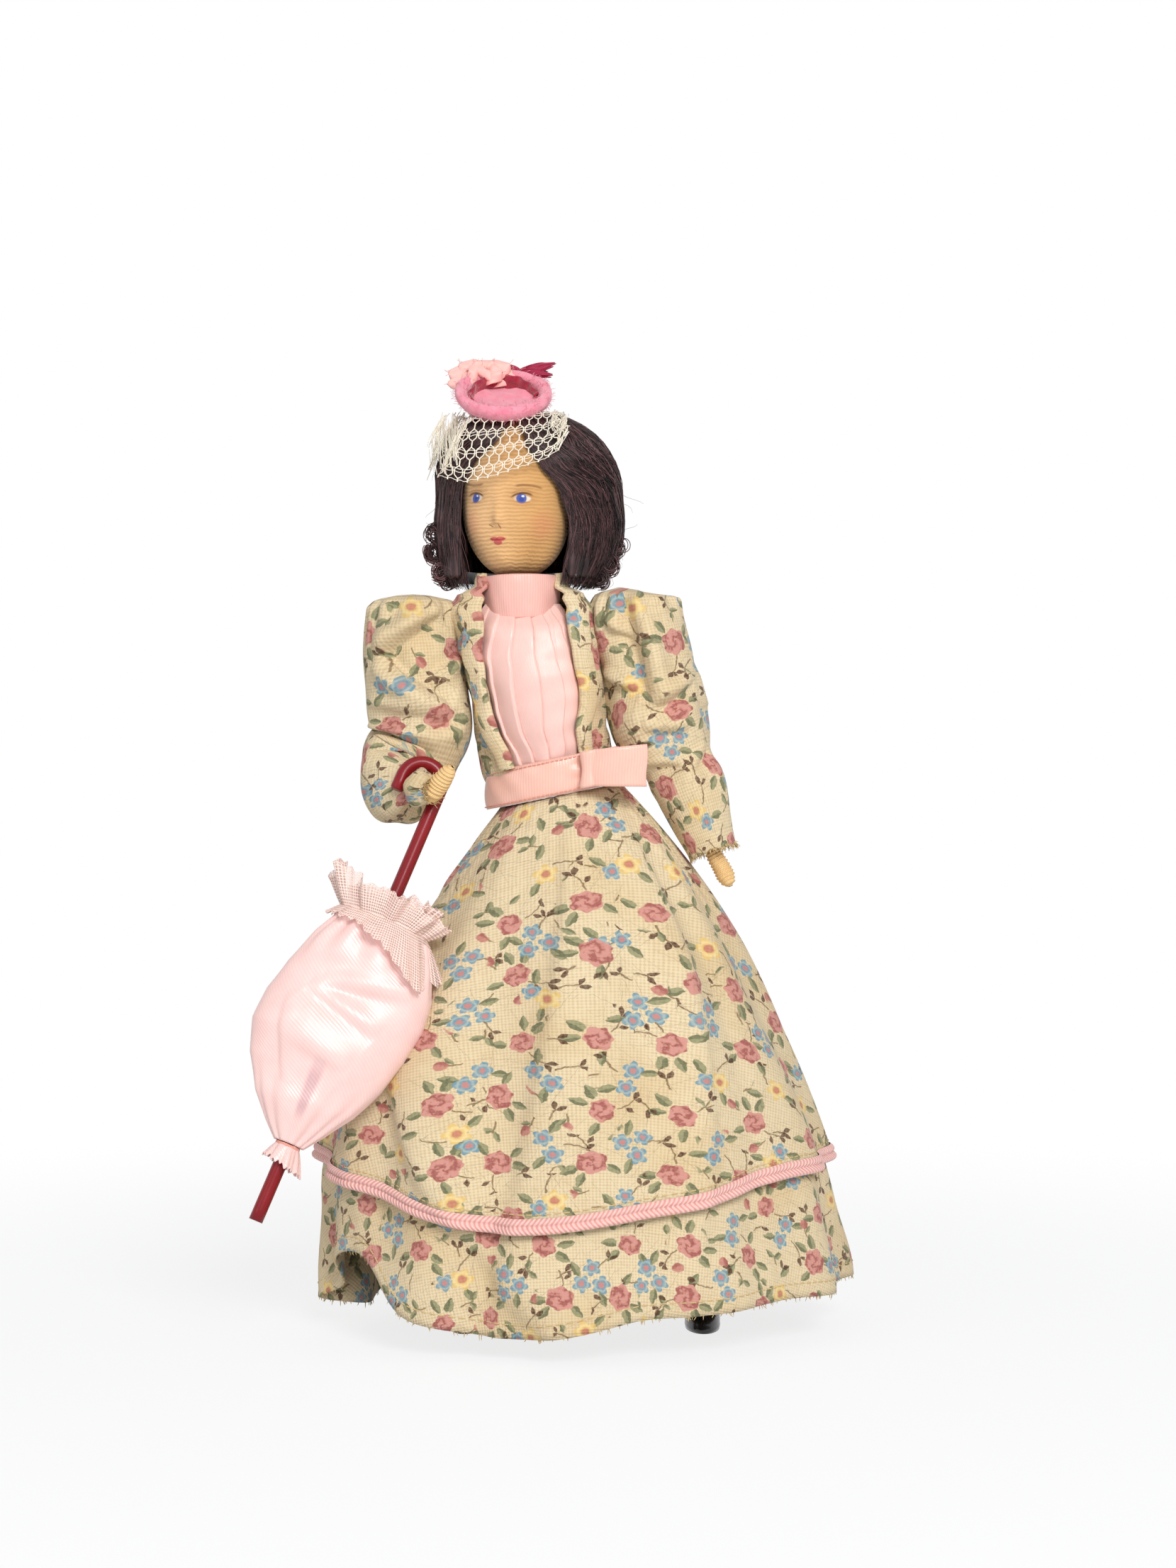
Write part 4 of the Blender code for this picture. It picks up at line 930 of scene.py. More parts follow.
part = np.linspace(0, 2 * pi, 49)[None]
up = np.linspace(-1, 1, 13)[:, None]
pinch = 1 - 0.15 * np.cos(up * pi)
x = 1.75 + 1.15 * np.cos(part) * pinch
knot = together(x, -8.95 - 0.75 * np.sin(part) * pinch, 84.2 + 2.75 * up + WAIST_RISE * (x - WAIST_X))
bow_knot = grid("bow_knot_ribbon", knot, together(part * 1.2, up * 2.8), BELT, True, 0.25)
finish_piece(bow_knot, "torso", "peach_ribbon", "bow_knot")

# Neck band

up = np.linspace(0, 1, 19)[:, None]
z = 108.7 + 5.7 * up
turn = np.linspace(-pi, pi, 145)[None]
swell = 5.85 - 0.6 * (1 - up) ** 3 - 0.1 * up ** 4 + 0.07 * waves_round(turn, z, 5.0, 3.0, 31)
lean = 0.25 * np.cos(turn - 0.4) - 1.0 * (1 - up) ** 1.5 * np.cos(turn)
points = together(NECK_X + swell * np.sin(turn), -swell * np.cos(turn), z + lean)
neckband = grid("neck_band", points, lengths(points), NECKBAND, True, 0.3)
finish_piece(neckband, "torso", "pink_satin", "neck_ribbon", "neck_wrap")
declare_sheet(points)


# Head: face, hair

HEAD_X = -9.3
HEAD_BOTTOM_Z = 114.2
HEAD_TOP_Z = 138.8
HEAD_MIDDLE_Z = (HEAD_BOTTOM_Z + HEAD_TOP_Z) / 2
HEAD_HALF_WIDTH, HEAD_HALF_DEPTH = 8.4, 9.0
STOCKING_Z = (114.35, 138.75)
FACE_TURN = radians(-19)     # the face looks towards the viewer's left
RIB = 0.58                   # pitch of the stocking's ribs


def head_half(z):
    """Half width and half depth of the plain head at a height."""
    place = np.minimum(np.abs(z - HEAD_MIDDLE_Z) / ((HEAD_TOP_Z - HEAD_BOTTOM_Z) / 2), 0.9995)
    share = np.sqrt(1 - place ** 2.4)
    return HEAD_HALF_WIDTH * share, HEAD_HALF_DEPTH * share


def face_form(angle, z):
    """How far the moulded face stands out or in from the plain head, in millimetres."""
    across = (angle - FACE_TURN) * HEAD_HALF_WIDTH

    def mound(x, height, wide, tall):
        return np.exp(-((across - x) / wide) ** 2 - ((z - height) / tall) ** 2)

    nose = 0.75 * mound(0.0, 122.6, 0.8, 1.0) + 0.2 * mound(0.0, 124.8, 0.8, 2.0)
    eyes = -0.42 * (mound(-4.2, 126.3, 1.9, 1.2) + mound(3.8, 126.1, 1.9, 1.2))
    cheeks = 0.3 * (mound(-4.4, 121.8, 2.3, 2.2) + mound(4.4, 121.8, 2.3, 2.2))
    lips = 0.32 * mound(0.0, 119.6, 1.3, 0.7)
    chin = 0.5 * mound(0.0, 116.6, 2.2, 1.5)
    jaw = -0.55 * (mound(-7.5, 117.4, 3.0, 3.0) + mound(7.5, 117.4, 3.0, 3.0))
    return nose + eyes + cheeks + lips + chin + jaw


def skin_finish():
    """Tan stocking drawn over the head, with the painted features."""
    finish = Finish("skin_cloth")
    u, v = finish.uv()
    fleck = finish.noise(finish.join(u * 2.0, v * 9.0), 1.2, 3.0)
    sway = finish.noise(finish.join(u, v), 0.5, 2.0)
    rib = ((v + sway * 0.7) * (2 * pi / RIB)).sin() * 0.5 + 0.5
    side = (u - 1.2).above(0.0, 5.5)
    chin = v.below(119.0, 4.0)
    # painted light: the face below the mouth is painted lighter, to make up for the shade it gets from the
    # light above
    colour = finish.mix(chin, "#EEC18E", "#FFCF96")
    # painted shade: the face darkens towards the side that the hair overhangs and shades
    colour = finish.mix(side * 0.6, colour, "#C08A44")
    # painted shade: dark lines in the grooves between the stocking's ribs
    colour = finish.mix((1.0 - rib) * (fleck * 0.6 + 0.05), colour, "#A8712F")

    def spot(x, z, wide, tall, soft=0.15, edge=1.0):
        """1 inside an oval: middle, half width and height, softness and where its edge lies."""
        return radius_of((u - x) * (1 / wide), (v - z) * (1 / tall)).below(edge, soft)

    blush = spot(-5.4, 122.4, 2.5, 2.5, 0.6, 0.7) + spot(7.4, 121.8, 2.67, 2.67, 0.6, 0.7)
    colour = finish.mix(blush * 0.3, colour, "#DE8266")

    def stroke(x, z, half, rise, bend, width):
        """A brushed arc: middle, half length, slope, sag and half width."""
        a = u - x
        b = v - z - a * rise + a * a * bend
        body = (a * (1 / half)).abs().below(1.0, 0.2)
        return b.abs().below(width, width * 0.55) * body

    eyes = [(-4.3, 126.05), (3.75, 125.75)]
    paint = []
    for i, (x, z) in enumerate(eyes):
        way = -1.0 if i == 0 else 1.0
        paint += [
            (spot(x, z + 0.2, 2.1, 1.3, 0.6) * 0.3, "#9A6238"),
            (spot(x + 0.6, z - 0.05, 0.8, 0.42, 0.3), "#E2D4C4"),
            (spot(x - 0.75, z, 0.5, 0.4, 0.4) * 0.5, "#DCCDBB"),
            (spot(x - 0.05, z, 0.82, 0.76, 0.14), "#3D56A2"),
            (spot(x - 0.05, z - 0.12, 0.4, 0.36, 0.4) * 0.8, "#2E4292"),
            # a small white dot on each iris: a painted glint
            (spot(x + 0.2, z + 0.34, 0.24, 0.16, 0.4), "#E6E6EE"),
            (stroke(x, z + 0.78, 1.6, 0.08 * way, 0.16, 0.15) * 0.85, "#4E2E1A"),
            (stroke(x, z + 1.2, 1.5, 0.08 * way, 0.14, 0.08) * 0.4, "#8A5A34"),
            (stroke(x + 0.15, z - 0.68, 1.1, -0.04 * way, -0.14, 0.09) * 0.45, "#96613C"),
            (stroke(x + 0.7 * way + 0.4, z + 1.95, 2.0, -0.08, 0.05 * way, 0.17) * 0.62, "#6A4226"),
        ]
    paint += [
        (stroke(-1.25, 121.72, 0.36, -0.5, 0.0, 0.09) * 0.8, "#6E4226"),
        (stroke(0.25, 121.6, 0.16, -1.6, 0.0, 0.2) * 0.75, "#6E4226"),
        (spot(-1.0, 119.74, 0.84, 0.32) * 0.9, "#C24650"),
        (spot(0.2, 119.74, 0.84, 0.32) * 0.9, "#C24650"),
        (spot(-0.4, 119.26, 0.8, 0.4) * 0.9, "#C64C54"),
        (stroke(-0.4, 119.6, 1.45, 0.0, -0.12, 0.07) * 0.7, "#8C1F2C"),
    ]
    for share, ink in paint:
        colour = finish.mix(share * (fleck * 0.25 + 0.82), colour, ink)
    finish.surface(colour, 0.8, 0.2, 0.15)
    return finish.bump(rib * 0.8 + fleck * 0.4, 0.09, 0.9)


z = np.linspace(*STOCKING_Z, 150)[:, None]
turn = np.linspace(-pi, pi, 241)[None]
wide, deep = head_half(z)
proud = face_form(turn, z) * np.clip(np.cos(turn - FACE_TURN) * 1.6, 0, 1)
points = together(HEAD_X + (wide + proud) * np.sin(turn), -(deep + proud) * np.cos(turn), z)
uv = together((turn - FACE_TURN) * HEAD_HALF_WIDTH, z)
face = grid("face_stocking", points, uv, skin_finish(), True, 0.3, -1.0)
finish_piece(face, "head", "skin_cloth", "face_cover", "head_core")


def hair_finish():
    """Dark brown mohair with a silky shine: each strand a little lighter or darker, partly at random and
    partly as painted highlight on the brightest strands and streaks and painted shade in the dark mass
    beneath.
    """
    finish = Finish("mohair")
    shade = finish.attribute("shade")
    streak = finish.noise(finish.place(), 420.0, 3.0)
    colour = finish.mix(shade * 0.85 + (streak - 0.5) * 0.3, "#0B0505", "#8A5F60")
    return finish.surface(colour, 0.36, 0.36).material


MOHAIR = hair_finish()
HAIR_FRONT_LEFT = radians(58)    # where the side hair hangs beside the face
HAIR_FRONT_RIGHT = radians(-68)
HAIR_TOP_Z = 139.9
CROWN_Z = HEAD_MIDDLE_Z      # where the hair begins to round over
CROWN_POWER = 2.3
HAIR_ENDS_Z = 113.2
CROWNWARD = 1.35             # more than 1 brings the places on a strand closer together at the crown
# Thickness of the hair by height, and how far a strand has swept out to its end's angle
FULL_LEFT = [(112.4, 3.6), (114.5, 5.7), (117.0, 7.0), (122.0, 7.6), (128.0, 7.0), (133.8, 5.4),
             (138.4, 3.9)]
FULL_RIGHT = [(112.0, 2.2), (115.7, 3.9), (122.9, 4.3), (126.3, 3.9), (129.2, 3.3), (133.5, 2.6),
              (139.0, 1.6)]
FULL_BACK = [(112.8, 3.2), (116.0, 4.8), (122.0, 5.2), (130.0, 4.6), (139.0, 1.8)]
SWEEP_LEFT = [(117.0, 1.0), (122.0, 0.98), (127.0, 0.78), (131.0, 0.42), (134.0, 0.2), (139.0, 0.08)]
SWEEP_RIGHT = [(122.0, 1.0), (128.0, 0.96), (131.0, 0.74), (135.0, 0.32), (139.0, 0.1)]


def crown_share(z):
    """How much of its full width the hair keeps as it rounds over the crown."""
    over = np.clip((z - CROWN_Z) / (HAIR_TOP_Z + 0.01 - CROWN_Z), 0, 1)
    return (1 - over ** CROWN_POWER) ** (1 / CROWN_POWER)


def hair_point(end, z, depth):
    """A place in the hair: the angle where its strand ends, its height, and its layer (1 outside)."""
    left = end > 0
    size = np.abs(end)
    front = np.where(left, HAIR_FRONT_LEFT, -HAIR_FRONT_RIGHT)
    sweep = np.where(left, through(SWEEP_LEFT, z), through(SWEEP_RIGHT, z))
    near_face = 1 - ease((size - front) / radians(70))
    angle = end * (1 - near_face * (1 - sweep))
    height = np.minimum(z, CROWN_Z)
    side = np.where(left, through(FULL_LEFT, height), through(FULL_RIGHT, height))
    to_back = ease((size - radians(95)) / radians(45))
    full = side * (1 - to_back) + through(FULL_BACK, height) * to_back
    from_edge = np.sin(pi / 2 * np.clip((size - front) / radians(44), 0, 1))
    ahead = 1 - ease((np.abs(angle) - radians(30)) / radians(45))
    flat = 1 - 0.68 * ahead * ease((z - 125.0) / 6.0)
    thick = 0.45 + full * (0.12 + 0.88 * from_edge) * depth * flat
    wide, deep = head_half(CROWN_Z)
    close = crown_share(z)
    return together(HEAD_X + (wide + thick) * close * np.sin(angle),
                    -(deep + thick) * close * np.cos(angle), z)


def hair_heights(stop, part):
    """Heights down a strand, closer together over the crown."""
    return HAIR_TOP_Z - (HAIR_TOP_Z - stop) * part ** CROWNWARD


end = np.linspace(HAIR_FRONT_LEFT - 0.02, 2 * pi + HAIR_FRONT_RIGHT + 0.02, 260)
end = np.where(end > pi, end - 2 * pi, end)[None]
z = hair_heights(HAIR_ENDS_Z + 0.9, np.linspace(0, 1, 60)[:, None])
clump = 0.9 + 0.035 * waves(end * 30, z * 0.12, 3.0, 41) + 0.03 * waves(end * 60, z * 0.2, 2.4, 42)
mass = hair_point(end + 0 * z, z, clump)
under = hair_point(end, HAIR_ENDS_Z + np.linspace(1.0, 2.4, 6)[:, None],
                   np.linspace(0.85, -0.05, 6)[:, None])
# painted shade: the mass under the strands is kept dark and its underside rows darkest
tone = np.clip(0.14 + 0.2 * waves(end * 40, 0 * end, 2.0, 43), 0, 1)
tones = np.concatenate([np.tile(tone, (len(mass), 1)), np.zeros(under.shape[:2])])
mass = np.concatenate([mass, under])
uv = together(end * 12, np.linspace(0, 40, len(mass))[:, None])
hair = grid("hair_mass", mass, uv, MOHAIR, shades=tones)
finish_piece(hair, "head", "mohair", "wig_left", "wig_right", "wig_back", "wig_crown")


STRANDS = 2400
STRAND_R = 0.075
STRAND_LAYER = 0.975         # where the strands lie in the hair, 1 being its outside
LEFT_SHARE, RIGHT_SHARE = 0.42, 0.168    # strands added beside the face, as a share of all


def strand_set(count):
    """Single hairs that follow the mass from the parting down to their ends."""
    rng = np.random.default_rng(51)
    end = rng.uniform(HAIR_FRONT_LEFT, 2 * pi + HAIR_FRONT_RIGHT, count)
    by_face = rng.random(count) < LEFT_SHARE
    end = np.where(by_face, HAIR_FRONT_LEFT + rng.random(count) ** 1.3 * radians(70), end)
    by_face = rng.random(count) < RIGHT_SHARE
    end = np.where(by_face, 2 * pi + HAIR_FRONT_RIGHT - rng.random(count) ** 1.3 * radians(50), end)
    end = np.where(end > pi, end - 2 * pi, end)[:, None]
    part = np.linspace(0, 1, 18)[None]
    stop = HAIR_ENDS_Z - 0.4 + rng.gamma(1.4, 0.8, count)[:, None]
    z = hair_heights(stop, part)
    depth = STRAND_LAYER + rng.uniform(-0.02, 0.05, count)[:, None]
    drift = 1.3 * np.sin(part * rng.uniform(2, 9, (count, 1)) + rng.uniform(0, 6, (count, 1)))
    wild = np.sign(end) * np.maximum(np.abs(end + drift * 0.05), HAIR_FRONT_LEFT)
    paths = hair_point(wild, z, depth + drift * 0.03)
    curl = ease((part - 0.82) / 0.18)[..., None] * rng.uniform(0.2, 1.3, (count, 1, 1))
    inward = unit(together(HEAD_X - paths[..., 0], -paths[..., 1], 0 * z))
    paths = paths + inward * curl * 1.2
    taper = STRAND_R * (1 - 0.6 * part ** 3) * rng.uniform(0.7, 1.2, (count, 1))
    # strand tones vary at random; the rare bright strands are also a painted highlight
    return tubes("hair_strands", paths, taper, MOHAIR, 3, rng.beta(0.55, 1.6, count))


finish_piece(strand_set(STRANDS), "head", "mohair")


def curl_lock(centre, size, turns, start, count, seed):
    """A bunch of hairs wound in a loose ring."""
    rng = np.random.default_rng(seed)
    part = np.linspace(0, 1, 26)[None]
    turn = part * turns * 2 * pi + start
    around = size * (1 - 0.35 * part) * rng.uniform(0.8, 1.15, (count, 1))
    off = rng.normal(0, 0.35, (count, 3))
    x = centre[0] + off[:, :1] + around * np.cos(turn)
    y = centre[1] + off[:, 1:2] + (part - 0.5) * 1.6
    z = centre[2] + off[:, 2:] + around * np.sin(turn) * 1.1
    return together(x, y, z)


# Each curl: middle, radius, turns, angle where it starts, hairs
CURLS = [((-22.1, 1.2, 121.2), 1.2, 1.3, 0.4, 18), ((-21.9, 1.4, 118.3), 1.4, 1.4, 2.4, 22),
         ((-21.1, 0.6, 115.4), 1.3, 1.2, 4.0, 24), ((-20.2, 0.8, 114.0), 1.1, 1.2, 1.0, 18),
         ((5.9, 0.5, 119.2), 1.3, 1.1, 3.3, 18), ((4.9, -0.5, 116.2), 1.4, 1.0, 3.6, 18),
         ((3.4, -1.5, 114.4), 1.2, 1.1, 4.6, 18)]
locks = np.concatenate([curl_lock(*curl, seed) for seed, curl in enumerate(CURLS, 61)])
curls = tubes("hair_curls", locks, 0.08, MOHAIR, 3,
              np.random.default_rng(68).beta(1.3, 2.0, len(locks)))
finish_piece(curls, "head", "mohair")

# Single hairs that stand away from the rest

rng = np.random.default_rng(71)
count = 64
end = np.where(rng.random(count) < 0.5, rng.uniform(radians(60), radians(115), count),
               rng.uniform(radians(-115), radians(-70), count))[:, None]
part = np.linspace(0, 1, 12)[None]
z = rng.uniform(114.5, 139.0, (count, 1)) + part * rng.uniform(-3.5, 2.5, (count, 1))
away = 1.0 + part * rng.uniform(0.1, 0.5, (count, 1)) + 0.04 * np.sin(part * 7 + end * 9)
wisps = hair_point(end + part * rng.uniform(-0.2, 0.2, (count, 1)), z, away)
flyaway = tubes("hair_flyaway", wisps, 0.035 * (1 - 0.6 * part), MOHAIR, 3, rng.random(count))
finish_piece(flyaway, "head", "mohair")


# Hat: felt dish, lining, flower, bow and veil

FELT = fuzzy("pink_felt", "#FFA3B5", "#F9899F", 1.3, 0.3)
LINING = fuzzy("crimson_ribbon", "#B32440", "#8E1730", 1.1, 0.2)


def petal_finish():
    """Thin salmon ribbon, paler towards its free edge and darker at its gathered foot: painted shade in
    the flower's core.
    """
    finish = Finish("salmon_ribbon")
    u, v = finish.uv()
    blotch = finish.noise(finish.join(u, v), 0.8, 3.0)
    colour = finish.mix(v.above(1.4, 1.3) * 0.75 + blotch * 0.25, "#E8837F", "#FFC6BC")
    return finish.surface(colour, 0.6, 0.3, 0.3).bump(blotch, 0.1, 0.5)


SALMON = petal_finish()
CRIMSON = satin("crimson_bow", "#B21F48", "#8C1236", 0.25, 0.45)
NET = thread("cream_net", "#FFF8EA", "#EADFC9")

HAT_R = 7.25
HAT_PITCH = radians(31)
HAT_FLOOR_R = 5.35           # inside of the rolled brim
HAT_FLOOR_UP = -0.35
HAT_WEDGE = 0.76             # how steeply the underside drops backwards to meet the crown
# The rolled brim's section, from the middle of its underside round to its inside: radius and height
BRIM_SECTION = [(0.2, -1.8), (3.5, -1.7), (5.6, -1.2), (6.4, -0.75), (7.0, -0.2), (7.3, 0.4), (7.4, 0.9),
                (7.3, 1.4), (6.9, 1.7), (6.35, 1.7), (5.85, 1.4), (5.55, 0.9), (5.35, 0.3), (5.2, -0.1)]
low, high = (np.array(c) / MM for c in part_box("hat_lining"))
HAT_SEAT = (low + high) / 2 - SHIFT / MM - [0.0, 0.0, 1.5]


def hat_point(along, back, up):
    """A point in the hat's own leaning frame, from the middle of its lining."""
    c, s = cos(HAT_PITCH), sin(HAT_PITCH)
    return HAT_SEAT + together(along, back * c - up * s, back * s + up * c)


# Felt dish with its fuzz

turn = np.linspace(0, 2 * pi, 121)[None]
outline = along_path([(r, up, 0.0) for r, up in BRIM_SECTION], 48)
r, up = outline[:, :1], outline[:, 1:2]
uneven = 0.12 * waves_round(turn, 0.0, 7.0, 8.0, 81) + 0.06 * waves_round(turn, 0.0, 7.0, 2.5, 82)
dent = 0.35 * np.cos(turn - 2.2) * (r / HAT_R) ** 2
r = r * (1 + uneven * 0.1)
back = r * np.sin(turn) * 0.97
wedge = HAT_WEDGE * np.maximum(back, 0.0) * ease((0.5 - up) / 1.3)
points = hat_point(r * np.cos(turn), back, up + uneven + dent - wedge)
hat = grid("hat_felt", points, together(turn * 7, np.linspace(0, 20, 48)[:, None]), FELT, True)
finish_piece(hat, "head", "pink_felt", "hat_brim")

rng = np.random.default_rng(85)
count = 900
at = rng.uniform(0, 2 * pi, count)
row = rng.integers(14, 44, count)
col = (at / (2 * pi) * 120).astype(int)
base = points[row, col]
out = unit(base - hat_point(5.9 * np.cos(at), 5.9 * np.sin(at), 0.4 + 0 * at))
t = np.linspace(-0.2, 1, 5)[None, :, None]
bend = rng.normal(0, 0.5, (count, 1, 3))
size = rng.uniform(0.25, 0.75, (count, 1, 1))
fuzz = tubes("hat_fuzz", base[:, None] + size * (out[:, None] * t * 0.7 + bend * t * t), 0.03, FELT, 3)
finish_piece(fuzz, "head", "pink_felt")

# Inside of the dish: its floor and the lining

radial = np.linspace(0.02, 1, 24)[:, None]
ruck = 0.14 * waves_round(turn, 0.0, radial * 5.0, 2.4, 86)
points = hat_point(HAT_FLOOR_R * radial * np.cos(turn), (HAT_FLOOR_R - 0.15) * radial * np.sin(turn),
                   HAT_FLOOR_UP + 0.4 * radial ** 6 + ruck)
floor_felt = grid("hat_floor", points, together(turn * 4, radial * 6), FELT, True)
finish_piece(floor_felt, "head", "pink_felt")
part = np.linspace(0, 1, 60)[None]
around = radians(8) + part * radians(188)
high = np.linspace(0, 1, 10)[:, None]
fold = 0.18 * waves(part * 14, high * 2, 2.0, 87)
inside = HAT_FLOOR_R - 0.1 - 1.05 * high * (1 - high) + fold
tall = 0.325 + 1.885 * np.sin(pi * np.clip(part, 0.04, 0.96)) ** 0.5
points = hat_point(inside * np.cos(around) * 0.97, inside * np.sin(around) * 0.94,
                   HAT_FLOOR_UP + tall * high)
lining = grid("hat_lining_cloth", points, together(part * 17, high * 3), LINING, False, 0.3)
finish_piece(lining, "head", "crimson_ribbon", "hat_lining")


def petal(place, aim, up, long, wide, cup, seed):
    """A ribbon petal: rows from its gathered foot out to a ruffled, rounded edge."""
    aim, up = unit(aim), np.asarray(up, float)
    side = unit(np.cross(aim, up))
    up = np.cross(side, aim)
    t = np.linspace(0, 1, 16)[:, None]
    s = np.linspace(-1, 1, 21)[None]
    breadth = wide * np.sin(pi * (0.12 + 0.78 * t)) ** 0.7
    ruffle = 0.14 * np.sin(s * 5 + seed) * t ** 2 + 0.1 * waves(s * 3, t * 3, 2.6, seed)
    lift = cup * (np.sin(pi * 0.85 * t) * 0.9 - 0.55 * s * s * t) + ruffle
    reach = long * t * (1 - 0.14 * s * s) + 0 * s
    return (np.asarray(place) + reach[..., None] * aim + (breadth * s)[..., None] * side
            + lift[..., None] * up)


# Flower and bow

FLOWER = np.array([-14.9, 2.9, 145.0])
# Each petal: way it points in degrees from +X towards up, length, half width, lean to the front
PETALS = [(6, 5.6, 1.9, 0.1), (30, 5.0, 2.0, 0.2), (60, 3.2, 2.2, 0.1), (100, 2.8, 2.2, 0.2),
          (140, 3.9, 2.1, 0.1), (168, 4.9, 2.0, 0.1), (194, 5.0, 1.8, 0.2), (14, 3.6, 1.8, 0.4),
          (70, 2.2, 2.0, 0.6), (150, 2.6, 2.0, 0.6), (206, 3.4, 1.7, 0.5)]
sheets = []
hairs = []
rng = np.random.default_rng(91)
for i, (way, long, wide, ahead) in enumerate(PETALS):
    aim = unit([cos(radians(way)), -ahead, sin(radians(way)) * 0.8])
    place = FLOWER + np.array([0.0, -0.12 * i, 0.0]) + aim * 0.3
    points = petal(place, aim, (0.0, -1.0, 0.45), long, wide, 1.25, 100 + i)
    uv = np.stack(np.meshgrid(np.linspace(0, 4, 21), np.linspace(0, 4, 16)), -1)
    sheets.append(grid("petal", points, uv, SALMON, False, 0.14))
    tip = points[-1, rng.integers(2, 19, 3)]
    t = np.linspace(-0.3, 1, 5)[None, :, None]
    hairs.append(tip[:, None] + t * (aim * 0.45 + rng.normal(0, 0.25, (3, 1, 3))))
sheets.append(tubes("petal_ends", np.concatenate(hairs), 0.035, SALMON, 3))
flower = merge("hat_flower_ribbon", sheets)
finish_piece(flower, "head", "salmon_ribbon", "hat_flower")

BOW = np.array([-8.9, 4.6, 146.5])
# Each end of the bow: aim, length, half width
BOW_TAILS = [((1.0, -0.1, 0.24), 5.4, 0.8), ((1.0, -0.2, -0.12), 4.9, 0.8), ((1.0, 0.25, 0.05), 4.0, 1.0),
             ((-1.0, -0.15, 0.3), 2.9, 0.7), ((-1.0, -0.2, -0.1), 2.6, 0.7)]
sheets = []
for i, (aim, long, wide) in enumerate(BOW_TAILS):
    place = BOW + np.array([0.0, -0.075 * i, 0.0])
    points = petal(place, aim, (0.0, -1.0, 0.1), long, wide, 0.35, 120 + i)
    t = np.linspace(0, 1, 16)[:, None]
    jag = 0.45 * np.sin(np.linspace(-1, 1, 21)[None] * 9 + i) * ease((t - 0.7) / 0.3)
    points = points + jag[..., None] * unit(aim)
    uv = np.stack(np.meshgrid(np.linspace(0, 3, 21), np.linspace(0, 5, 16)), -1)
    sheets.append(grid("bow_tail", points, uv, CRIMSON, False, 0.16))
hat_bow = merge("hat_bow_ribbon", sheets)
finish_piece(hat_bow, "head", "crimson_ribbon", "hat_bow")


# Veil

VEIL_TOP_Z = 139.6
VEIL_TOP_X, VEIL_TOP_WIDE = -18.6, 16.4
# The net's lower edge: x and height
VEIL_LOW = [(-21.0, 129.2), (-17.0, 128.0), (-12.5, 129.0), (-7.5, 130.6), (-4.9, 131.5),
            (-2.8, 132.9), (-1.3, 135.6)]


def veil_point(share, down):
    """The net drawn over the brow; share runs across it and down from its top edge."""
    x_low = VEIL_LOW[0][0] + (VEIL_LOW[-1][0] - VEIL_LOW[0][0]) * share
    x_top = VEIL_TOP_X + VEIL_TOP_WIDE * share
    x = x_top + (x_low - x_top) * np.clip(down, 0, 1.1) ** 0.7
    z_low = np.interp(x_low, *zip(*VEIL_LOW))
    z = VEIL_TOP_Z + (z_low - VEIL_TOP_Z) * down
    wide, deep = head_half(CROWN_Z)
    full = np.where(x < HEAD_X, through(FULL_RIGHT, CROWN_Z), through(FULL_LEFT, CROWN_Z))
    close = crown_share(np.minimum(z, 139.3))
    side = np.clip((x - HEAD_X) / ((wide + full) * close + 1.6), -0.985, 0.985)
    lift = 1.9 + full * close * ease((np.abs(side) - 0.2) / 0.7) + 0.1 * np.sin(share * 50 + down * 3)
    return together(x, -(deep * close + lift) * np.sqrt(1 - side * side), z)


COLUMNS, ROWS = 13, 4        # holes of the net across and down
paths = []
down = np.linspace(0, 1.02, 60)[None]
centre = (np.arange(COLUMNS) + 0.5)[:, None] / COLUMNS
swing = 0.44 * np.tanh(2.2 * np.cos(2 * pi * ROWS * down / 1.02))
for way in (-1.0, 1.0):
    paths.append(veil_point(centre + way * (0.30 + swing * 0.5) / COLUMNS, down + 0 * centre))
uprights = tubes("veil_uprights", np.concatenate(paths), 0.09, NET, 4)
share = np.linspace(0.004, 0.996, 240)[None]
rows = np.concatenate([(np.arange(ROWS) + 0.38) / ROWS, (np.arange(ROWS) + 0.55) / ROWS,
                       [0.995]])[:, None]
wobble = 0.006 * np.sin(share * COLUMNS * 2 * pi + rows * 9)
levels = tubes("veil_levels", veil_point(share + 0 * rows, rows + wobble), 0.06, NET, 4)
rng = np.random.default_rng(131)
count = 260
start = np.where(rng.random(count) < 0.8, rng.uniform(-0.12, 0.13, count),
                 rng.uniform(0.9, 1.0, count))[:, None]
down = rng.uniform(0.0, 0.55, (count, 1)) + np.linspace(0, 0.5, 12)[None] * rng.uniform(0.4, 1, (count, 1))
paths = veil_point(start + 0.02 * np.sin(down * 9 + start * 50), down)
gathers = tubes("veil_gathers", paths + rng.normal(0, 0.22, (count, 1, 3)), 0.055, NET, 4)
veil = merge("veil_net", [uprights, levels, gathers])
finish_piece(veil, "head", "cream_net", "hat_veil")


# Arms: one sleeve each, with its frayed cuff and thread-wound hand

SKIN_THREAD = thread("skin_thread", "#F6D7A2", "#D3A566", 0.75)


def sweep(path, radius, cols, rows, proud, facing=(0.0, 1.0, 0.0)):
    """Rows of rings square to a smooth path; proud(turn, share) adds folds to the radius."""
    line = along_path(path, rows)
    knot_at = run(path)
    share = np.linspace(0, 1, rows)
    size = np.interp(share, knot_at / knot_at[-1], radius)
    size = np.convolve(np.pad(size, 2, mode="edge"), np.ones(5) / 5, mode="valid")
    along = unit(np.gradient(line, axis=0))
    side = unit(np.cross(along, facing))
    up = np.cross(side, along)
    turn = np.linspace(-pi, pi, cols + 1)[None]
    grow = size[:, None] + proud(turn, share[:, None])
    points = line[:, None] + grow[..., None] * (
        side[:, None] * np.cos(turn)[..., None] + up[:, None] * np.sin(turn)[..., None])
    uv = together(turn * float(np.mean(size)), share[:, None] * run(line)[-1])
    return points, uv, line


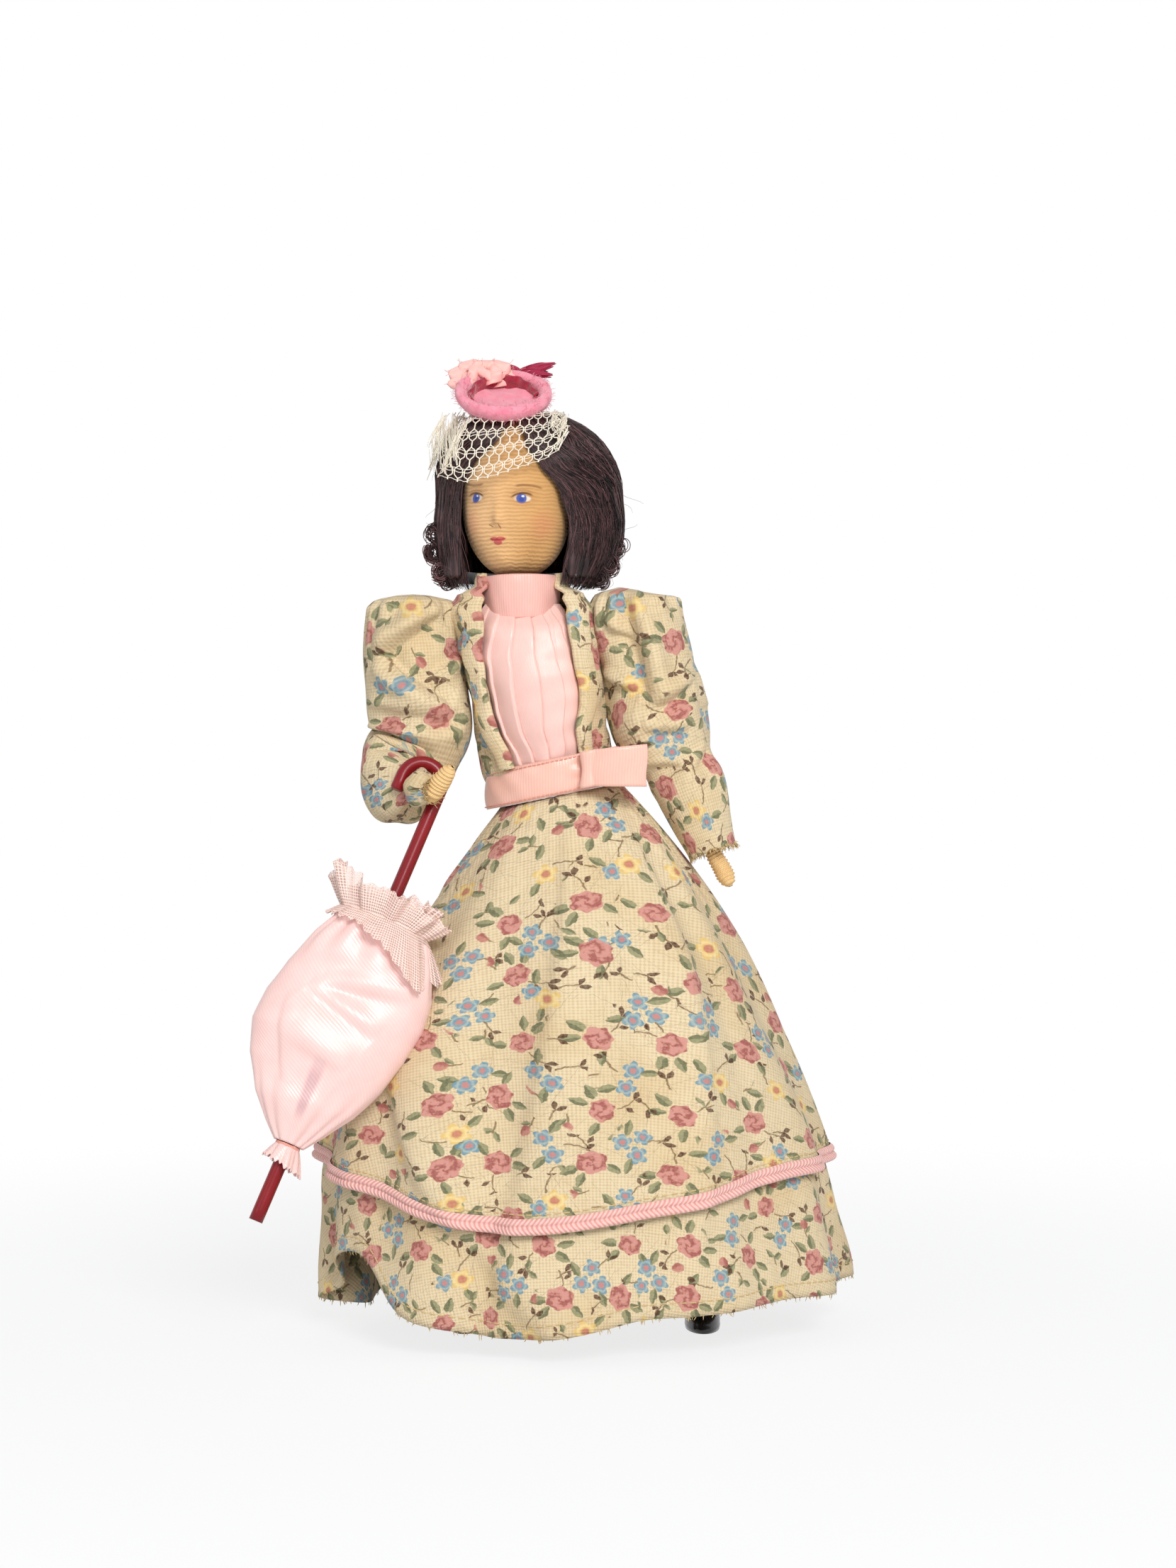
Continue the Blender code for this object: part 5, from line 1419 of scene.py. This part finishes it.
def crease(across, down, line, wide, deep):
    """How high a fold along a line on a cloth stands: one side laps over the other, which dips under."""
    (x0, y0), (x1, y1) = line
    long = hypot(x1 - x0, y1 - y0)
    dx, dy = (x1 - x0) / long, (y1 - y0) / long
    part = np.clip(((across - x0) * dx + (down - y0) * dy) / long, 0, 1)
    off = dx * (down - y0) - dy * (across - x0)
    fade = (4 * part * (1 - part)) ** 0.5
    under = np.exp(-np.maximum(off, 0) / (2.2 * wide)) / (1 + np.exp(-off / (0.28 * wide)))
    over = np.exp(-((off + 1.2 * wide) / (1.3 * wide)) ** 2)
    return deep * fade * (0.6 * over - under)


SLEEVE_COLS, SLEEVE_ROWS = 160, 180
SLEEVE_R = 7.0               # a sleeve's usual radius, to lay its creases out flat
CREASES = {                  # turn from the front and share of the length, at both ends; width, depth
    "left": [((-0.12, 0.02), (-0.05, 0.43), 1.3, 3.51), ((-0.05, 0.44), (1.05, 0.37), 0.9, 1.69),
             ((-0.4, 0.5), (0.55, 0.57), 0.8, 1.43), ((-1.0, 0.1), (-0.2, 0.18), 0.7, 1.3),
             ((-1.3, 0.3), (-0.3, 0.37), 0.8, 1.43), ((0.2, 0.71), (1.0, 0.65), 0.7, 0.78),
             ((-0.9, 0.62), (0.0, 0.68), 0.7, 0.91), ((1.8, 0.28), (2.8, 0.36), 0.9, 1.3),
             ((-2.8, 0.5), (-1.7, 0.57), 0.9, 1.3)],
    "right": [((-0.75, 0.2), (0.7, 0.07), 1.1, 3.25), ((1.3, 0.2), (0.3, 0.29), 0.9, 1.3),
              ((0.7, 0.38), (-0.8, 0.2), 1.1, 2.86), ((-1.2, 0.36), (0.2, 0.4), 0.8, 1.17),
              ((-1.4, 0.47), (0.4, 0.5), 0.9, 1.95), ((1.0, 0.42), (0.2, 0.46), 0.8, 1.3),
              ((1.8, 0.3), (2.8, 0.37), 0.9, 1.3), ((-2.8, 0.16), (-1.8, 0.24), 0.9, 1.3)]}


def sleeve(word, path, radius, seed, elbow_at, reach, fray_long):
    """A full sleeve in one piece, gathered over the shoulder and creased at the elbow."""
    name = "sleeve_" + word
    whole = float(run(path)[-1])

    def folds(turn, share):
        across = ((turn + pi) % (2 * pi) - pi) * SLEEVE_R
        sharp = 0.0
        for start, end, wide, deep in CREASES[word]:
            line = [(place[0] * SLEEVE_R, place[1] * whole) for place in (start, end)]
            sharp = sharp + crease(across, share * whole, line, wide, deep)
        head = ease((0.22 - share) / 0.2) * ease(share / 0.05)
        gathers = 0.42 * np.cos(12 * turn + 1.5 * np.sin(2 * turn + seed)) * head
        fall = np.sin(pi * np.clip(share, 0.001, 0.999)) ** 0.5
        big = waves_round(turn, share * 34, 7.0, 15.0, seed)
        small = waves_round(turn, share * 36, 7.0, 8.0, seed + 1)
        soft = (0.7 * (np.sqrt(big * big + 0.02) - 0.75) + 0.3 * small) * fall
        near = np.exp(-((share - elbow_at) / 0.05) ** 2)
        return gathers + soft - 0.7 * near + sharp

    points, uv, line = sweep(path, radius, SLEEVE_COLS, SLEEVE_ROWS, folds, (1.0, 0.0, 0.0))
    points[0] = line[0]                                     # the cap closes in one point
    edge = 0.25 * np.sin(np.linspace(0, 2 * pi, SLEEVE_COLS + 1) * 9 + seed)
    points[-1] += unit(line[-1] - line[-2]) * edge[:, None]
    piece = grid(name, points, uv + [31.0 * seed, 5.0], COTTON, True, 0.34)
    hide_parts(word + "_upper_sleeve", word + "_forearm_sleeve")
    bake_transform(piece)
    away = unit(unit(line[-1] - line[-3]) + 0.35 * unit(points[-1] - line[-1]))
    ends = fray(name + "_fray", points[-1], away, 150, seed + 7, fray_long)
    finish_piece(ends, word + "_forearm", "printed_cotton")
    declare_sheet(points)


def towards(start, end, far):
    """A point some way from start towards end."""
    return start + unit(np.subtract(end, start)) * far


ELBOW_LEFT, WRIST_LEFT = (15.5, 0.0, 87.0), (20.9, -1.0, 72.0)
ELBOW_RIGHT, WRIST_RIGHT = (-28.5, 1.0, 83.6), (-23.2, -10.8, 83.3)
sleeve(
    "left",
    [(9.0, 0.0, 112.4), (8.9, 0.0, 111.9), (8.9, 0.0, 110.7), (9.2, 0.0, 107.5), (10.2, 0.0, 103.0),
     (11.2, 0.0, 97.5), (12.5, 0.0, 92.2), (15.3, 0.0, 87.0), (17.6, -0.4, 81.0), (19.5, -0.75, 75.8),
     (20.6, -0.95, 72.7)],
    [0.05, 5.5, 6.5, 6.9, 7.1, 7.5, 7.5, 6.3, 5.4, 4.3, 3.6], 2, 0.66,
    (towards(ELBOW_LEFT, (12.0, 0.0, 98.5), 4.0), towards(ELBOW_LEFT, WRIST_LEFT, 4.0)), 1.0)
sleeve(
    "right",
    [(-25.2, 0.0, 111.7), (-25.2, 0.0, 111.2), (-25.2, 0.0, 110.0), (-25.2, 0.0, 107.0),
     (-24.8, 0.0, 101.0), (-24.1, 0.2, 95.0), (-24.1, 0.5, 90.0), (-25.9, 0.4, 85.8),
     (-27.3, -3.0, 82.6), (-25.8, -6.2, 82.5), (-24.0, -9.2, 83.2), WRIST_RIGHT,
     (-23.3, -12.1, 82.8), (-23.4, -13.2, 82.2), (-22.8, -14.2, 81.9), (-21.9, -14.9, 81.8)],
    [0.05, 5.3, 6.6, 7.0, 7.3, 8.0, 8.4, 7.5, 6.3, 5.1, 2.2, 1.68, 1.9, 2.5, 2.2, 1.5], 3, 0.51,
    (np.add(ELBOW_RIGHT, [0.4, 0.6, 3.2]), np.add(ELBOW_RIGHT, [1.0, -4.0, -0.4])), 1.6)

THREAD_PITCH = 0.55
THREAD_PROUD = 0.11


def wound_hand(word, path, radius):
    """Wire wound with thread, in even turns."""
    length = float(run(path)[-1])

    def turns(turn, share):
        return THREAD_PROUD * np.sin(share * length * 2 * pi / THREAD_PITCH + turn)

    points, uv, _ = sweep(path, radius, 20, 190, turns, (0.0, 0.3, 1.0))
    piece = grid("wound_hand_" + word, points, uv, SKIN_THREAD, True)
    finish_piece(piece, word + "_forearm", "skin_cloth", word + "_hand")


wound_hand("left",
           [(20.0, -0.8, 74.6), WRIST_LEFT, (21.9, -1.3, 70.2), (22.6, -1.6, 68.8), (23.1, -1.9, 67.7),
            (23.3, -2.0, 67.2)],
           [1.2, 1.25, 1.35, 1.4, 1.0, 0.3])
wound_hand("right",
           [(-24.6, -8.0, 83.3), WRIST_RIGHT, (-22.4, -12.5, 83.0), (-21.6, -14.8, 81.5),
            (-20.2, -16.0, 83.1), (-18.9, -17.0, 84.8), (-18.4, -17.4, 85.4)],
           [1.1, 1.1, 1.15, 1.4, 1.45, 1.05, 0.3])


# Parasol

STICK_R = 1.04
STICK_LONG = 69.0            # the straight part, from the crook to the tip
CROOK_R = 3.0
BAG_START, BAG_LONG = 22.6, 34.4    # along the stick from the crook, as is the tie's place
TIE_AT = 57.2
BAG_ROUND = 9.0              # millimetres of cloth for each radian round the bag
LACE_PITCH = 0.9


def lacquer_finish():
    """Dark red lacquer, worn to the bare grey at the stick's end."""
    finish = Finish("parasol_lacquer")
    uneven = finish.noise(finish.place(), 260.0, 3.0)
    _, v = finish.uv()
    colour = finish.mix(uneven, "#740A14", "#8E141D")
    colour = finish.mix(v.above(0.985, 0.002), colour, "#8E8482")
    finish.surface(colour, uneven * 0.18 + 0.2, 0.28)
    finish.set("Coat Weight", 0.06).set("Coat Roughness", 0.15)
    return finish.bump(uneven, 0.05, 0.5)


def lace_finish():
    """Peach net: small round holes between soft threads."""
    finish = Finish("peach_lace")
    u, v = finish.uv()
    net = (u * (2 * pi / LACE_PITCH)).sin() * (v * (2 * pi / LACE_PITCH)).sin()
    hole = net.abs().above(0.42, 0.08)
    spot = finish.noise(finish.join(u, v), 1.6, 2.0)
    finish.surface(finish.mix(spot, "#FFEBE2", "#FBD0C2"), 0.75, 0.5, 0.3)
    finish.set("Alpha", 1.0 - hole * 0.8)
    return finish.bump(1.0 - hole, 0.08, 0.6)


def bag_finish():
    """Thin pink satin with a slanting weave; the stick inside shades it from behind low down."""
    finish = Finish("parasol_satin")
    u, v = finish.uv()
    twill = (u * 7.0 + v * 11.0).sin() * 0.5 + 0.5
    blotch = finish.noise(finish.join(u * 0.6, v * 0.6), 0.5, 3.0)
    fine = finish.noise(finish.join(u * 6.0, v * 0.5), 1.0, 2.0)
    colour = finish.mix(blotch * 0.6 + fine * 0.2 + twill * 0.2, "#FBDCD6", "#F0BDB7")
    in_front = (u - BAG_ROUND * pi / 2 - 0.2).abs().below(0.9, 0.5)
    stick = in_front * v.above(23.5, 2.5) * v.below(31.5, 1.5)
    finish.surface(finish.mix(stick * 0.42, colour, "#9C6C7C"), fine * 0.1 + 0.27, 0.5, 0.25)
    finish.set("Anisotropic", 0.5).set("Sheen Roughness", 0.4)
    return finish.bump(twill * 0.7 + fine * 0.6, 0.035, 0.7)


LACE = lace_finish()
PARASOL_SATIN = bag_finish()

# Stick

STICK_AIM = unit([-0.376, -0.211, -0.902])
AHEAD = np.array([0.0, -1.0, 0.0])
CROOK_AXIS = unit(AHEAD - STICK_AIM * AHEAD.dot(STICK_AIM))
CROOK_SIDE = unit(np.cross(CROOK_AXIS, STICK_AIM))
CROOK = np.array(WRIST_RIGHT) + STICK_AIM * 0.3
STICK_TOP = CROOK + CROOK_SIDE * CROOK_R

turn = np.linspace(pi, 0, 25)[:, None]
bend = CROOK + CROOK_SIDE * CROOK_R * np.cos(turn) - STICK_AIM * CROOK_R * np.sin(turn)
path = np.concatenate([[bend[0] + STICK_AIM * 2.2], [bend[0] + STICK_AIM * 1.1], bend,
                       STICK_TOP + STICK_AIM * np.linspace(2, STICK_LONG, 40)[:, None]])
along = unit(np.gradient(path, axis=0))
across = np.cross(CROOK_AXIS, along)
turn = np.linspace(0, 2 * pi, 25)[None]
ring = STICK_R * (CROOK_AXIS * np.cos(turn)[..., None] + across[:, None] * np.sin(turn)[..., None])
start = path[0] + ring[:1] * np.array([0.02, 0.5, 0.85])[:, None, None] - along[0] * 0.3
cap = path[-1] + ring[-1:] * np.array([0.8, 0.4, 0.02])[:, None, None]
points = np.concatenate([start, path[:, None] + ring, cap])
share = np.concatenate([np.linspace(0, 0.97, len(path) + 3), [0.99, 0.995, 1.0]])
rod = grid("parasol_rod", points, together(turn, share[:, None]), lacquer_finish(), True)
finish_piece(rod, "parasol", "parasol_lacquer", "parasol_stick")


def around_stick(along, wide, deep, turn):
    """Points about the stick: along it from the crook, and an oval across it."""
    centre = STICK_TOP + np.asarray(along)[..., None] * STICK_AIM
    return (centre + (wide * np.cos(turn))[..., None] * CROOK_SIDE
            + (deep * np.sin(turn))[..., None] * CROOK_AXIS)


# Bag

# Half widths and half depths by share of the length, and slanting creases: both ends (across and down, in
# millimetres), width, height
BAG_RIGHT = [(0, 7.4), (0.1, 9.6), (0.22, 11.2), (0.36, 11.6), (0.5, 10.9), (0.66, 9.2), (0.8, 7.0),
             (0.92, 4.2), (1.0, 2.0)]
BAG_LEFT = [(0, 6.4), (0.12, 8.6), (0.28, 10.8), (0.42, 12.0), (0.56, 12.1), (0.7, 10.6), (0.84, 7.6),
            (0.94, 4.2), (1.0, 2.0)]
BAG_DEEP = [(0, 2.8), (0.2, 4.1), (0.5, 4.6), (0.8, 3.4), (1.0, 1.7)]
BAG_CREASES = [(((-9.0, 9.0), (5.0, 11.5)), 1.1, 0.9), (((-6.0, 16.0), (7.0, 12.5)), 1.0, 0.8),
               (((-4.0, 22.5), (6.0, 21.0)), 1.2, 0.7), (((6.0, 27.0), (9.0, 14.0)), 1.0, 0.6)]

turn = np.linspace(0, 2 * pi, 193)[None]
s = np.linspace(0, 1, 110)[:, None]
wide = np.where(np.cos(turn) > 0, np.interp(s, *zip(*BAG_RIGHT)), np.interp(s, *zip(*BAG_LEFT)))
deep = through(BAG_DEEP, s) + 0 * turn
low_fold = ease((s - 0.62) / 0.38)
high_fold = ease((0.3 - s) / 0.3)
pull = 0.55 * np.cos(13 * turn + 2 * np.sin(2 * turn)) * (low_fold * (1.15 - s) * 1.8 + high_fold)
pull = pull + 0.5 * waves_round(turn, s * 30, 6.0, 12.0, 141)
across = (turn - pi / 2) * 11.0
for line, broad, tall in BAG_CREASES:
    pull = pull + crease(across, s * BAG_LONG, line, broad, tall)
pull = pull * (0.3 + 0.7 * np.abs(np.sin(turn)) ** 1.5)
BAG_POINTS = around_stick(BAG_START + BAG_LONG * s + 0 * turn, wide + pull, deep + pull * 0.8, turn)
bag = grid("parasol_bag", BAG_POINTS, together(turn * BAG_ROUND, s * 36), PARASOL_SATIN, True, 0.22)
finish_piece(bag, "parasol", "pink_satin", "parasol_cover")


def frill(name, start, reach, wide, deep, count, ruffle, material, seed, slot):
    """A gathered strip round the stick that flares and ruffles towards its free edge.

    reach gives how far the strip runs along the stick at each turn, wide and deep its size at both edges
    and count its ruffles."""
    turn = np.linspace(0, 2 * pi, 289)[None]
    s = np.linspace(0, 1, 22)[:, None]
    long = reach(turn)
    free = s ** 0.8 * np.minimum(np.abs(long) / 4.0, 1.3)
    sway = ruffle * free * np.cos(count * turn + 1.3 * np.sin(2 * turn + seed))
    sway = sway + 0.35 * ruffle * free * np.sin(2.3 * count * turn + seed)
    edge = 0.22 * np.cos(count * 4 * turn) * ease((s - 0.8) / 0.2)
    along = start + long * s + 0.35 * sway + edge * np.sign(long)
    a = wide[0] + (wide[1] - wide[0]) * free + sway
    b = deep[0] + (deep[1] - deep[0]) * free + sway * 0.7
    points = around_stick(along, a, b, turn + 0 * s)
    uv = together(turn * run(points[-1])[-1] / (2 * pi), s * np.abs(long) * 1.2)
    piece = grid(name, points, uv, material, True, 0.12)
    finish_piece(piece, "parasol", slot)
    return piece, points


def bump_at(turn, middle, width):
    """A smooth rise about one turn round the stick."""
    return np.exp(-((np.angle(np.exp(1j * (turn - middle)))) / width) ** 2)


# Laces at the bag's mouth, and the tie at its foot

lace_up, lace_points = frill(
    "lace_flounce", BAG_START, lambda t: -3.9 - 3.0 * bump_at(t, 2.9, 0.75) - 0.8 * bump_at(t, 1.5, 0.5),
    (5.8, 9.0), (2.9, 4.8), 9, 0.85, LACE, 3, "peach_lace")
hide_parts("parasol_lace")
lace_in, points = frill("lace_inner", BAG_START - 0.2, lambda t: -4.9 - 0.7 * np.cos(t),
                        (3.0, 5.6), (2.0, 3.5), 8, 0.9, LACE, 5, "peach_lace")
declare_sheet(points)
lace_down, _ = frill("lace_fall", BAG_START - 1.4, lambda t: 2.2 + 6.2 * bump_at(t, 0.6, 0.85),
                     (6.2, 9.6), (3.2, 5.7), 8, 0.8, LACE, 8, "peach_lace")
declare_sheet(lace_points)
tie, _ = frill("parasol_frill", TIE_AT, lambda t: 3.0 + 0.6 * np.cos(t), (1.6, 3.2), (1.5, 2.8),
               6, 0.5, PARASOL_SATIN, 9, "pink_satin")
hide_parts("parasol_tie")
turn = np.linspace(0, 2 * pi, 60)
line = around_stick(TIE_AT + 0.042 * turn, 1.75 + 0 * turn, 1.65 + 0 * turn, turn * 3)
binding = tubes("parasol_binding", line[None], 0.16, STITCH_PINK, 6)
finish_piece(binding, "parasol", "pink_satin")
declare_sheet(BAG_POINTS)


# Legs and shoes

STUFFING = thread("leg_winding", "#EFE0C8", "#C9AE86", 0.85)


def shoe_finish():
    """Black lacquered shoe, lightly scuffed."""
    finish = Finish("shoe_black")
    scuff = finish.noise(finish.place(), 700.0, 4.0)
    finish.surface(finish.mix(scuff, "#0E0D0E", "#242226"), scuff * 0.2 + 0.16)
    finish.set("Coat Weight", 0.3).set("Coat Roughness", 0.12)
    return finish.bump(scuff, 0.05, 0.4)


SHOE = shoe_finish()
LEGS = {"left": [(3.4, 0.0, 73.3), (10.73, 1.22, 41.64), (19.0, 2.6, 5.95)],       # hip, knee, ankle
        "right": [(-7.6, 0.0, 71.35), (-12.02, 1.22, 40.61), (-17.0, 2.6, 5.95)]}
# Radii at five places: two by the upper joint, two at shares of the length, one short of the lower joint
LEG_PARTS = {"thigh": ((2.0, 3.1, 3.0, 2.7, 2.35), (-2.4, -0.6), (0.4, 0.75), 2.9),
             "shin": ((2.0, 2.4, 2.4, 2.1, 1.65), (-1.4, 1.0), (0.35, 0.7), 0.3)}
# Rows of the shoe from the sole up: height, share of its length and of its width
SHOE_ROWS = np.array([(0.0, 0.94, 0.88), (0.12, 0.99, 0.96), (0.75, 1.0, 1.0), (0.95, 0.985, 0.985),
                      (1.5, 0.985, 0.99), (2.35, 0.94, 0.97), (3.2, 0.84, 0.9), (4.0, 0.66, 0.8),
                      (4.8, 0.46, 0.7), (5.4, 0.36, 0.64), (5.6, 0.33, 0.6), (5.5, 0.28, 0.5)])
SHOE_HALF_LENGTH, SHOE_HALF_WIDTH, SHOE_HEEL_Y = 6.6, 2.7, 4.25
LEG_TURNS = 34


def windings(turn, share):
    return THREAD_PROUD * np.sin(share * 2 * pi * LEG_TURNS + turn)


for word, joints in LEGS.items():
    joints = np.array(joints)
    for (name, (sizes, near, shares, short)), first, last in zip(LEG_PARTS.items(), joints, joints[1:]):
        down = unit(last - first)
        path = ([first + down * far for far in near] + [first + (last - first) * s for s in shares]
                + [last - down * short])
        points, uv, _ = sweep(path, sizes, 24, 240, windings)
        leg = grid(f"{word}_{name}_winding", points, uv, STUFFING, True)
        finish_piece(leg, f"{word}_{name}", "stuffing", f"{word}_{name}_wrap")

    turn = np.linspace(0, 2 * pi, 65)[None]
    z, long, wide = (SHOE_ROWS[:, k:k + 1] for k in range(3))
    half = SHOE_HALF_LENGTH * long
    toe = 1 - 0.06 * np.clip(np.cos(turn), 0, 1) ** 2
    x = joints[2, 0] + SHOE_HALF_WIDTH * wide * np.sin(turn) * toe * (1 + 0.08 * np.cos(turn))
    points = together(x, SHOE_HEEL_Y - half - half * np.cos(turn), z)
    middle = points[:1].mean(axis=1, keepdims=True)
    points = np.concatenate([middle + 0.02 * (points[:1] - middle), points])     # closes the sole
    uv = together(turn * 5, np.linspace(0, 9, len(points))[:, None])
    shoe = grid(f"{word}_shoe_shell", points, uv, SHOE, True)
    finish_piece(shoe, word + "_shin", "shoe_black", word + "_shoe")


def wire_finish():
    """Drawn steel wire."""
    finish = Finish("armature_wire")
    drawn = finish.noise(finish.place(), 1500.0, 2.0)
    finish.surface(finish.mix(drawn, "#8C8A86", "#B4B2AE"), drawn * 0.2 + 0.3).set("Metallic", 1.0)
    return finish.bump(drawn, 0.02, 0.4)


WIRE = wire_finish()
for name, node in frame["nodes"].items():
    if name.endswith("_wire"):
        node.data.materials.clear()
        node.data.materials.append(WIRE)


# Stage, light and camera

floor = Finish("pale_floor")
mottle = floor.noise(floor.place(), 3.0, 2.0)
floor.surface(floor.mix(mottle, "#F3F6FA", "#F8FAFC"), 0.9, 0.1)


def seen_directly(tree):
    """1 for a ray from the camera, or by mirror or glass from it."""
    path = tree.nodes.new("ShaderNodeLightPath")
    camera, glossy, through_glass = (Value(tree, path.outputs[name]) for name in (
        "Is Camera Ray", "Is Glossy Ray", "Is Transmission Ray"))
    return camera.largest(glossy).largest(through_glass)


x, y, _ = floor.split(floor.place())
white = floor.tree.nodes.new("ShaderNodeEmission")
share = seen_directly(floor.tree) * ((x * x + y * y).root().above(0.16, 0.1) * 0.2 + 0.8)
blend = shader_node(floor.tree, "ShaderNodeMixShader",
                    {0: share, 1: floor.shader.outputs[0], 2: white.outputs[0]})
feed(floor.tree, blend.outputs[0], floor.tree.nodes["Material Output"].inputs["Surface"])
bpy.ops.mesh.primitive_plane_add(size=8.0, location=(0, 0, -0.0002))
ground = bpy.context.object
ground.name = "stage_floor"
ground.data.materials.append(floor.material)

world = bpy.data.worlds.new("white_room")
bpy.context.scene.world = world
world.use_nodes = True
sky = world.node_tree.nodes["Background"]
sky.inputs["Color"].default_value = (1.0, 1.0, 1.0, 1.0)
level = seen_directly(world.node_tree) * 0.62 + 0.38
feed(world.node_tree, level, sky.inputs["Strength"])


def soft_light(name, place, aim, size, power, colour=(1.0, 1.0, 1.0)):
    lamp = bpy.data.lights.new(name, "AREA")
    lamp.shape, lamp.size, lamp.energy, lamp.color = "DISK", size, power, colour
    holder = bpy.data.objects.new(name, lamp)
    bpy.context.collection.objects.link(holder)
    holder.location = place
    holder.rotation_euler = (Vector(aim) - Vector(place)).to_track_quat("-Z", "Y").to_euler()


MIDDLE = (0.0, 0.0, 0.08)
soft_light("key_light", (0.24, -0.84, 0.55), MIDDLE, 0.4, 7.2)
soft_light("fill_light", (-0.7, -0.7, 0.35), MIDDLE, 0.7, 1.1, (0.97, 0.98, 1.0))

camera_data = bpy.data.cameras.new("photo_camera")
camera = bpy.data.objects.new("photo_camera", camera_data)
bpy.context.collection.objects.link(camera)
camera_data.sensor_width = 36.0
camera_data.lens = 67.4
camera_data.clip_start = 0.01
camera.location = row_frame([1.58, -450.0, 82.8])
camera.rotation_euler = (pi / 2, 0, 0)
bpy.context.scene.camera = camera

view = bpy.context.scene.view_settings
view.view_transform = "Standard"
